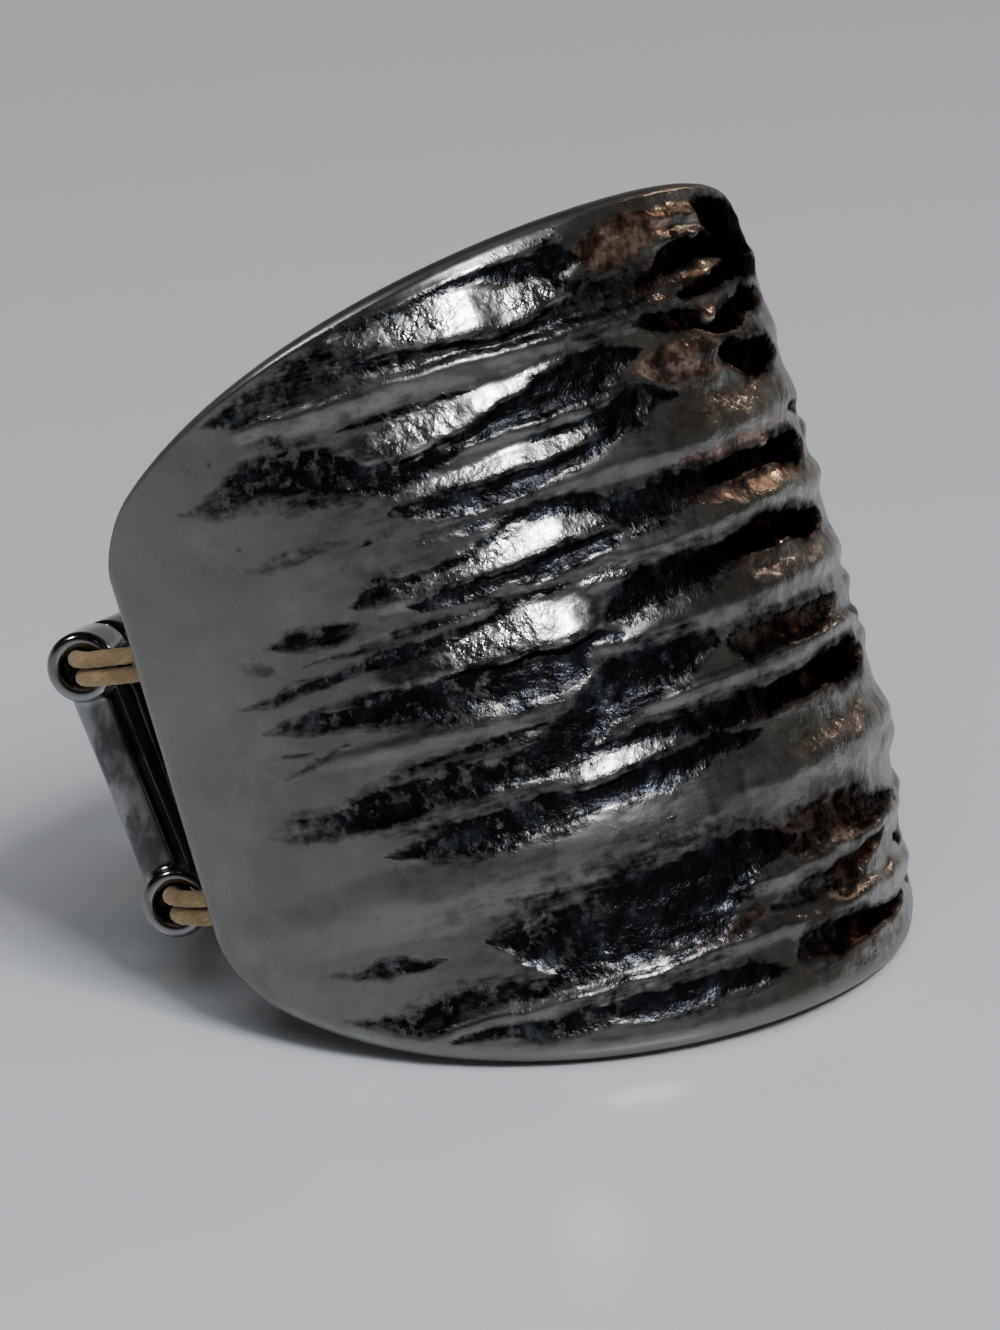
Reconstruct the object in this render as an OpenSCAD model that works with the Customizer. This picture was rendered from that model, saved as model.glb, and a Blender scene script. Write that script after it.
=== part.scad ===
// Stretch ring. A wide oval metal shield with a bark-like surface wraps half of
// the finger, and a band of eight two-hole links on elastic cord closes it.
// The ring lies on its side: the shield's lower rim and the band's lower edge
// touch z = 0, and the finger axis leans towards the band. The apex of the
// shield is at +X, the band at -X. The finger frame has its own z along the
// finger axis; an angle in it is counted from the apex towards -Y.

/* [Shield] */
// Outer radius of the shield, across its ridges
ring_r = 10.9; // [10.7:0.1:11.3]
// Metal thickness of the shield
wall = 1.2; // [1.1:0.05:1.35]
// Width of the shield along the finger, at the apex
shield_w = 21; // [19.8:0.2:22]
// Half length of the shield's flat oval, before its ends are cut off
oval_a = 19; // [18.2:0.1:19.8]
// Roundness of the oval: 2 is an ellipse, more is squarer
oval_n = 2.1; // [2:0.05:2.3]
// Angle from the apex to each end of the shield
end_angle = 86.5; // [84:0.5:87.5]
// Rounding of the shield's four corners
corner_r = 1.6; // [1:0.1:2]
// Height of the ridges and grooves, as a multiple of the table's
relief = 1; // [0.4:0.1:1.2]

/* [Eyelets] */
// Bore of the eyelets that the cords run through
hole_d = 1.05; // [1.02:0.01:1.1]
// Outer diameter of the eyelets
tube_d = 1.8; // [1.7:0.05:1.9]
// Distance between the upper and the lower row of eyelets
row_gap = 6.5; // [6.2:0.1:6.8]
// Length of the shield's own eyelets
lug_l = 2; // [1.8:0.1:2.2]
// Radius of the eyelet centres under the shield's ends
lug_r = 9.4; // [9.3:0.05:9.45]
// How far the shield's eyelets lie below the middle of its ends
lug_drop = 0.8; // [0:0.1:0.9]

/* [Band] */
// Length of a link along the band
link_l = 2.4; // [2.2:0.05:2.45]
// Thickness of the web between a link's eyelets
web_t = 1.3; // [1.1:0.05:1.4]
// Angle that the band turns through from its first link to its last
band_turn = 76; // [70:1:80]
// Distance of the first link's mouth behind the ring's centre
band_x = 2; // [1.8:0.1:2.4]
// Distance of the first link's mouth to the side of the ring's centre
band_y = 9.7; // [9.6:0.05:9.9]
// How far the slack band has slid down along the finger axis
sag = 0.5; // [0:0.1:0.8]

/* [Cord] */
// Thickness of the elastic cord
cord_d = 0.44; // [0.38:0.02:0.46]

/* [Hidden] */
metal = "#5c5d60";
link_metal = "#6a6b6e";
tan_cord = "#b8925a";

tube_r = tube_d / 2;
lip = (tube_d - hole_d) / 4;            // rounding of an eyelet's mouth
row_z = row_gap / 2;
cord_off = cord_d / 2 + 0.03;           // each cord's centre from the bore's
in_r = ring_r - wall;                   // inner radius of the shield

// ---------- surface of the shield ----------
// One row for each ridge (height above 0) or groove (below 0): it starts at
// angle A0 and height Z0, ends at A1 and Z1, and tapers to a point at both.
A0 = 0; Z0 = 1; A1 = 2; Z1 = 3; HALF_W = 4; HEIGHT = 5;
STROKES = [
    // upper part, towards the end at -Y and over the apex
    [ 64,  8.8,   2,  8.9, 0.95,  0.22],
    [ 68,  7.7,   4,  7.9, 0.30, -0.12],
    [ 66,  7.4, -20,  7.6, 0.42,  0.16],
    [ 70,  6.2,  42,  6.4, 0.50, -0.26],
    [ 48,  6.9,  10,  6.8, 0.42,  0.24],
    [ 42,  5.6,   2,  5.9, 0.75, -0.40],
    [ 44,  4.9,  12,  5.0, 0.36,  0.26],
    [ 50,  4.1,   8,  4.4, 0.46, -0.30],
    [ 26,  4.3, -60,  4.4, 0.75,  0.24],
    // middle part
    [ 36,  3.5, -42,  3.2, 0.42, -0.30],
    [ 50,  2.6,  -8,  2.7, 0.48,  0.26],
    [ 72,  1.9,  48,  2.1, 0.36, -0.24],
    [ 24,  1.9, -62,  2.1, 0.58,  0.28],
    [ 71,  0.7,  38,  1.2, 0.26, -0.26],
    [ 50,  0.5,  10,  0.8, 0.60,  0.28],
    [ 70,  0.0,  20, -0.4, 0.40, -0.30],
    [ 10,  1.3, -40,  1.2, 0.34, -0.32],
    [ 24,  0.1, -66,  0.3, 0.62,  0.28],
    [ 66, -1.2,  24, -1.3, 0.42,  0.16],
    [ 28, -1.7,   0, -0.9, 0.52, -0.36],
    [  2, -1.2, -58, -1.0, 0.46, -0.38],
    [ 74, -2.7,  24, -2.0, 0.46, -0.34],
    [ 32, -3.1,   8, -2.6, 0.34,  0.22],
    [ 20, -2.4, -56, -2.3, 0.46, -0.34],
    [ 58, -3.8,   4, -3.4, 0.38, -0.28],
    // lower part
    [ 82, -4.8, -76, -4.2, 1.15,  0.26],
    [ 46, -6.9,   2, -6.3, 1.05, -0.48],
    [  8, -6.0, -34, -6.3, 0.60, -0.30],
    [ 70, -6.4,  48, -6.6, 0.28, -0.20],
    [ 18, -7.1, -36, -7.2, 0.50,  0.22],
    [ 64, -8.0,  34, -7.5, 0.34, -0.24],
    [ 10, -8.0, -58, -8.2, 0.44, -0.34],
    [ 52, -8.9,   6, -9.1, 0.32, -0.26],
    [  4, -9.2, -28, -9.2, 0.40, -0.24],
    // short ridges on the far side of the apex
    [  8,  9.7, -30,  9.5, 0.36,  0.20],
    [  4,  9.0, -36,  8.8, 0.34,  0.18],
    [ -2,  8.4, -40,  8.1, 0.30, -0.24],
    [ -4,  7.9, -52,  7.6, 0.34,  0.20],
    [ -4,  6.9, -58,  7.0, 0.34, -0.22],
    [  2,  6.2, -66,  6.1, 0.62,  0.22],
    [ -6,  5.3, -36,  5.3, 0.36, -0.24],
    [-24,  3.6, -74,  3.4, 0.34, -0.26],
    [-38,  2.9, -72,  2.8, 0.40,  0.18],
    [-44,  1.6, -76,  1.3, 0.30, -0.26],
    [-40, -0.6, -74, -0.9, 0.50,  0.20],
    [-36, -2.0, -76, -2.2, 0.44,  0.16],
    [-34, -3.2, -72, -3.1, 0.36, -0.28],
    [-50, -5.6, -74, -5.4, 0.40, -0.26],
    [-30, -6.8, -66, -6.7, 0.50,  0.18]
];

function arc_mm(a) = ring_r * abs(a) * PI / 180;
function smooth_end(s, r) = s >= r ? 0 : r - sqrt(max(r * r - (r - s) * (r - s), 0));
// half width of the shield at an angle, with its corners rounded
function half_w(a) =
    shield_w / 2 * pow(max(1 - pow(arc_mm(a) / oval_a, oval_n), 0.01), 1 / oval_n)
    - smooth_end(arc_mm(end_angle) - arc_mm(a), corner_r);
// height of one ridge or groove at a point
function stroke(s, a, z) =
    let (u = (a - s[A0]) / (s[A1] - s[A0]))
    u <= 0 || u >= 1 ? 0 :
    let (t = sqrt(sin(180 * u)),
         v = (z - s[Z0] - (s[Z1] - s[Z0]) * u) / (s[HALF_W] * t))
    abs(v) >= 1 ? 0 : s[HEIGHT] * t * pow(1 - v * v, 2);
function relief_at(a, z, i = 0) =
    i >= len(STROKES) ? 0 : stroke(STROKES[i], a, z) + relief_at(a, z, i + 1);
// both edges of the far side are drawn in a little, the lower one more
function part_of(v) = max(0, min(1, v));
function drawn_in(a, z) = (0.55 * part_of((-z - 4.6) / 4.2) + 0.16 * part_of((z - 8) / 1.5))
    * part_of((10 - a) / 45);

// ---------- the closed section at each angle ----------
stations = 56;
across = 46;                            // points over the outer face
rim = 3;                                // points round each rim
inner = 8;                              // points over the inner face
function thick(a) = wall - 2 * smooth_end(arc_mm(end_angle) - arc_mm(a) + 0.02, wall * 0.42);
function outer_r(a, z) =
    ring_r - (wall - thick(a)) / 2 - 0.05 - drawn_in(a, z)
    + relief * relief_at(a, z) * min(1, (half_w(a) - abs(z)) / 0.5);
function section(a) =
    let (w = half_w(a), t = thick(a), q = 0.46 * t, zf = w - q,
         ri = in_r + (wall - t) / 2)
    concat(
        [for (i = [0 : across - 1])
            let (z = -zf + 2 * zf * i / (across - 1)) [outer_r(a, z), z]],
        [for (i = [1 : rim])
            let (b = 180 * i / (rim + 1), ro = outer_r(a, zf), m = (ro + ri) / 2)
            [m + (ro - ri) / 2 * cos(b), zf + q * sin(b)]],
        [for (i = [0 : inner - 1])
            let (z = zf - 2 * zf * i / (inner - 1)) [ri, z]],
        [for (i = [1 : rim])
            let (b = 180 + 180 * i / (rim + 1), ro = outer_r(a, -zf), m = (ro + ri) / 2)
            [m + (ro - ri) / 2 * cos(b), -zf + q * sin(b)]]
    );
loop_n = across + inner + 2 * rim;
// stations are closer together near both ends, where the edge is rounded
function station_a(i) =
    let (u = 2 * i / (stations - 1) - 1)
    end_angle * (u + 0.115 * sin(180 * u));
shell_points = [for (i = [0 : stations - 1])
    let (a = station_a(i)) for (p = section(a)) [p[0] * cos(a), -p[0] * sin(a), p[1]]];
shell_faces = concat(
    [for (i = [0 : stations - 2]) for (j = [0 : loop_n - 1])
        let (k = (j + 1) % loop_n, p = i * loop_n, q = p + loop_n)
        each [[p + j, q + j, p + k], [p + k, q + j, q + k]]],
    [[for (j = [0 : loop_n - 1]) j]],
    [[for (j = [loop_n - 1 : -1 : 0]) (stations - 1) * loop_n + j]]
);

// ---------- route of the band, in the finger frame ----------
// A place is [x, side, heading]: side is -y, and the heading turns with it.
n_links = 8;
bend = band_turn / (n_links - 1);
// small differences between the links: lean about the bore, shift along z
LEAN = 0; SHIFT = 1;
HANG = [[-5.4, 0], [-4, -0.04], [-2.6, 0], [-1.2, -0.03], [0.3, -0.03], [1.6, 0.03], [2.6, 0], [3.4, 0.06]];
function heading(k) = 270 + (k - (n_links - 1) / 2) * bend;
function dir(h) = [cos(h), sin(h)];
function total(v, i = 0) = i >= len(v) ? 0 : v[i] + total(v, i + 1);
link_gap = (2 * band_y + link_l * total([for (k = [0 : n_links - 1]) sin(heading(k))]))
    / -total([for (k = [0 : n_links - 2]) sin(heading(k + 0.5))]);
function mouth(k) = k == 0 ? [-band_x, band_y]
    : mouth(k - 1) + link_l * dir(heading(k - 1)) + link_gap * dir(heading(k - 0.5));
function mid(k) = mouth(k) + link_l / 2 * dir(heading(k));
lug_a = end_angle - asin(lug_l / 2 / lug_r);
function lug_mid(side) = [lug_r * cos(lug_a), side * lug_r * sin(lug_a)];
function lug_heading(side) = side > 0 ? lug_a + 90 : 90 - lug_a;

// a point in a link: along its bore, and at a height on its own axis
function in_link(k, s, z) =
    let (c = mid(k) + s * dir(heading(k)), h = heading(k), r = HANG[k][LEAN])
    [c[0] - z * sin(r) * sin(h), -(c[1] + z * sin(r) * cos(h)),
     z * cos(r) - sag + HANG[k][SHIFT]];
// a point in the shield's eyelet: along its bore, outwards, and up
function in_lug(side, s, out, z) =
    let (c = lug_mid(side) + s * dir(lug_heading(side)), m = norm(c))
    [c[0] * (m + out) / m, -c[1] * (m + out) / m, z - lug_drop];
function bezier(p, q, r, s, t) =
    p * pow(1 - t, 3) + q * 3 * t * pow(1 - t, 2) + r * 3 * t * t * (1 - t) + s * pow(t, 3);

// ---------- how the ring rests ----------
function leaned(p, t) = [p[0] * cos(t) - p[2] * sin(t), p[1], p[0] * sin(t) + p[2] * cos(t)];
function rim_low(t) = min([for (a = [-66 : 6 : 66])
    (ring_r - wall / 2) * cos(a) * sin(t) - (half_w(a) - wall / 2) * cos(t) - wall / 2]);
// furthest reach of a link's eyelet along a direction
function eyelet_reach(k, z, u) =
    let (d = [dir(heading(k))[0], -dir(heading(k))[1], 0] * u)
    in_link(k, 0, z) * u + (link_l / 2 - lip) * abs(d)
    + (tube_r - lip) * sqrt(1 - d * d) + lip;
function band_low(t) = -max([for (k = [0 : n_links - 1])
    eyelet_reach(k, -row_z, [-sin(t), 0, -cos(t)])]);
function settle(lo, hi, i) =
    i == 0 ? (lo + hi) / 2 :
    let (t = (lo + hi) / 2)
    rim_low(t) < band_low(t) ? settle(t, hi, i - 1) : settle(lo, t, i - 1);
lean = settle(5, 35, 24);
resting = [for (p = shell_points) leaned(p, lean)];
lift = -min(band_low(lean), min([for (p = resting) p[2]]));
front = max([for (p = resting) p[0]]);
back = -max([for (k = [0 : n_links - 1]) for (z = [-row_z, row_z])
    eyelet_reach(k, z, [-cos(lean), 0, sin(lean)])]);
module rest() {
    translate([-(front + back) / 2, 0, lift]) rotate([0, -lean, 0]) children();
}

// ---------- pieces ----------
module barrel(l) {                      // round body of a lug's eyelet
    rotate([0, 90, 0]) cylinder(h = l, r = tube_r, center = true, $fn = 24);
}
module lug(side) {
    translate([lug_mid(side)[0], -lug_mid(side)[1], -lug_drop])
    rotate([0, 0, -lug_heading(side)]) {
        for (s = [-1, 1]) translate([0, 0, s * row_z]) hull() {
            barrel(lug_l - 0.4);
            scale([1, 0.86, 0.86]) barrel(lug_l - 0.04);
        }
        hull() {                        // web between the two eyelets
            translate([0, 0.35, 0]) cube([lug_l - 0.5, 1.1, row_gap], center = true);
            translate([0, 0.45, 0]) cube([lug_l - 0.2, 0.9, row_gap - 0.4], center = true);
        }
        hull() {                        // foot that runs out into the shell
            translate([-side * 0.25, 0.9, 0]) cube([lug_l - 0.1, 0.5, row_gap + 0.1], center = true);
            translate([-side * 0.3, 1.1, 0]) cube([lug_l + 0.2, 0.3, row_gap + 0.5], center = true);
        }
    }
}
module lug_bores(side) {
    translate([lug_mid(side)[0], -lug_mid(side)[1], -lug_drop])
    rotate([0, 0, -lug_heading(side)])
        for (s = [-1, 1]) translate([side * -0.5, 0, s * row_z])
            rotate([0, 90, 0]) cylinder(h = lug_l + 2.2, d = hole_d, center = true, $fn = 24);
}
module shield() {
    color(metal) rest() difference() {
        union() {
            polyhedron(points = shell_points, faces = shell_faces, convexity = 8);
            intersection() {
                union() { lug(1); lug(-1); }
                cylinder(h = 12, r = ring_r - 0.35, center = true, $fn = 90);
            }
        }
        lug_bores(1);
        lug_bores(-1);
    }
}

// eyelet with a round-lipped mouth, its bore along x
module eyelet() {
    rotate([0, 90, 0]) rotate_extrude($fn = 48) {
        translate([hole_d / 2, -link_l / 2 + lip]) square([2 * lip, link_l - 2 * lip]);
        for (s = [-1, 1])
            translate([hole_d / 2 + lip, s * (link_l / 2 - lip)]) circle(r = lip, $fn = 24);
    }
}
module web() {
    x = link_l / 2 - 0.2;
    y0 = 0.04 - web_t / 2;
    y1 = 0.04 + web_t / 2;
    c = 0.45;
    in = hole_d / 3;                        // its ends lie in the eyelets' walls
    translate([0, 0, -row_z + in]) linear_extrude(row_gap - 2 * in) {
        translate([-x, y0 + c]) square([2 * x, web_t - 2 * c]);
        translate([-x + c, y0]) square([2 * x - 2 * c, web_t]);
        for (sx = [-x + c, x - c]) for (sy = [y0 + c, y1 - c])
            translate([sx, sy]) circle(r = c, $fn = 24);
    }
}
module link(k) {
    c = mid(k);
    color(link_metal) rest()
    translate([c[0], -c[1], HANG[k][SHIFT] - sag])
    rotate([0, 0, -heading(k)]) rotate([HANG[k][LEAN], 0, 0])
    difference() {
        union() {
            for (s = [-1, 1]) translate([0, 0, s * row_z]) eyelet();
            web();
        }
        for (s = [-1, 1]) translate([0, 0, s * row_z]) rotate([0, 90, 0])
            cylinder(h = link_l + 1, d = hole_d, center = true, $fn = 48);
    }
}
module link_1() { link(0); }
module link_2() { link(1); }
module link_3() { link(2); }
module link_4() { link(3); }
module link_5() { link(4); }
module link_6() { link(5); }
module link_7() { link(6); }
module link_8() { link(7); }

// One pass of a cord through a row: up = 1 is the upper row, and z is the
// height of the cord's centre above the middle, taken on each link's own axis.
function free_run(side, z) =            // from the lug's mouth to the first link
    let (k = side > 0 ? 0 : n_links - 1, s = side > 0 ? -link_l / 2 : link_l / 2,
         h = lug_heading(side), hk = heading(k),
         p = in_lug(side, side * lug_l / 2, 0, z), r = in_link(k, s, z),
         q = p + side * 0.8 * [cos(h), -sin(h), 0],
         v = r - side * 0.9 * [cos(hk), -sin(hk), 0])
    [for (t = [0.2, 0.4, 0.6, 0.8]) bezier(p, q, v, r, t)];
function pass(z) = concat(
    [in_lug(1, -lug_l / 2 - 0.05, -0.1, z), in_lug(1, lug_l / 2, 0, z)],
    free_run(1, z),
    [for (k = [0 : n_links - 1]) each [in_link(k, -link_l / 2, z), in_link(k, link_l / 2, z)]],
    [for (i = [3 : -1 : 0]) free_run(-1, z)[i]],
    [in_lug(-1, -lug_l / 2, 0, z), in_lug(-1, lug_l / 2 + 0.05, -0.1, z)]);
// turn behind a lug, from height z to -z, reaching e beyond the lug
function turn(side, z, e) = concat(
    [for (b = [35, 65, 90])
        in_lug(side, -side * (lug_l / 2 + 0.1 + e * sin(b)), -0.1 - 0.3 * sin(b), sign(z) * (abs(z) - e * (1 - cos(b))))],
    [for (f = [0.5, 0, -0.5]) in_lug(side, -side * (lug_l / 2 + 0.1 + e), -0.42, f * z)],
    [for (b = [90, 65, 35])
        in_lug(side, -side * (lug_l / 2 + 0.1 + e * sin(b)), -0.1 - 0.3 * sin(b), -sign(z) * (abs(z) - e * (1 - cos(b))))]);
function reversed(v) = [for (i = [len(v) - 1 : -1 : 0]) v[i]];
function cord_route(z, e) = concat(pass(z), turn(-1, z, e), reversed(pass(-z)), turn(1, -z, e));
function unit(v) = v / norm(v);
module closed_cord(pts) {
    n = len(pts);
    sides = 8;
    ring_pts = [for (i = [0 : n - 1])
        let (t = unit(unit(pts[(i + 1) % n] - pts[i]) + unit(pts[i] - pts[(i + n - 1) % n])),
             o = unit([pts[i][0], pts[i][1], 0]),
             a = unit(o - t * (o * t)), b = cross(t, a))
        for (j = [0 : sides - 1])
            pts[i] + cord_d / 2 * (a * cos(360 * j / sides) + b * sin(360 * j / sides))];
    polyhedron(points = ring_pts, faces = [for (i = [0 : n - 1]) for (j = [0 : sides - 1])
        let (k = (j + 1) % sides, p = i * sides, q = ((i + 1) % n) * sides)
        each [[p + j, q + j, p + k], [p + k, q + j, q + k]]], convexity = 10);
}
module cord_outer() {
    color(tan_cord) rest() closed_cord(cord_route(row_z + cord_off, 0.95));
}
module cord_inner() {
    color(tan_cord) rest() closed_cord(cord_route(row_z - cord_off, 0.36));
}

shield();
cord_outer();
cord_inner();
link_1();
link_2();
link_3();
link_4();
link_5();
link_6();
link_7();
link_8();
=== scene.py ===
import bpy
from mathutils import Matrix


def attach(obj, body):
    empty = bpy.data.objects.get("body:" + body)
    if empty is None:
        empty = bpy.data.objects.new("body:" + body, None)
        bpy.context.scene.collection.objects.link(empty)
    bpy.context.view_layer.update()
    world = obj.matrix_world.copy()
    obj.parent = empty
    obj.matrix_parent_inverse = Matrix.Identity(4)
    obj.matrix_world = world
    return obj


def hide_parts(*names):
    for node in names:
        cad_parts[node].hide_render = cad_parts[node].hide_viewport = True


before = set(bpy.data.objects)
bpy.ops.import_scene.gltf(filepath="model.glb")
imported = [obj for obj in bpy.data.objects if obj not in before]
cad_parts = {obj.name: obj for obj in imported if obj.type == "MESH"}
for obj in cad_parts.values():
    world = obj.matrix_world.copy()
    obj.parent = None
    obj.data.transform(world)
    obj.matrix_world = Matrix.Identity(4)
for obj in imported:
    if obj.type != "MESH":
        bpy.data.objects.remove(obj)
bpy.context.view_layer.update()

import math
import bpy
import numpy as np
from mathutils import Matrix, Vector

MM = 0.001

# ---------------------------------------------------------------- sizes, in mm
ring_r, wall, shield_w = 10.9, 1.2, 21.0
oval_a, oval_n, end_angle, corner_r = 19.0, 2.1, 86.5, 1.6
hole_d, tube_d, row_gap = 1.05, 1.8, 6.5
lug_l, lug_r, lug_drop = 2.0, 9.4, 0.8
link_l, web_t, band_turn = 2.4, 1.3, 76.0
band_x, band_y, sag = 2.0, 9.7, 0.5
cord_d = 0.44
tube_r, lip, row_z = tube_d / 2, (tube_d - hole_d) / 4, row_gap / 2
cord_off = cord_d / 2 + 0.03
in_r = ring_r - wall
n_links = 8
bend = band_turn / (n_links - 1)
rad = math.radians

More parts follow.
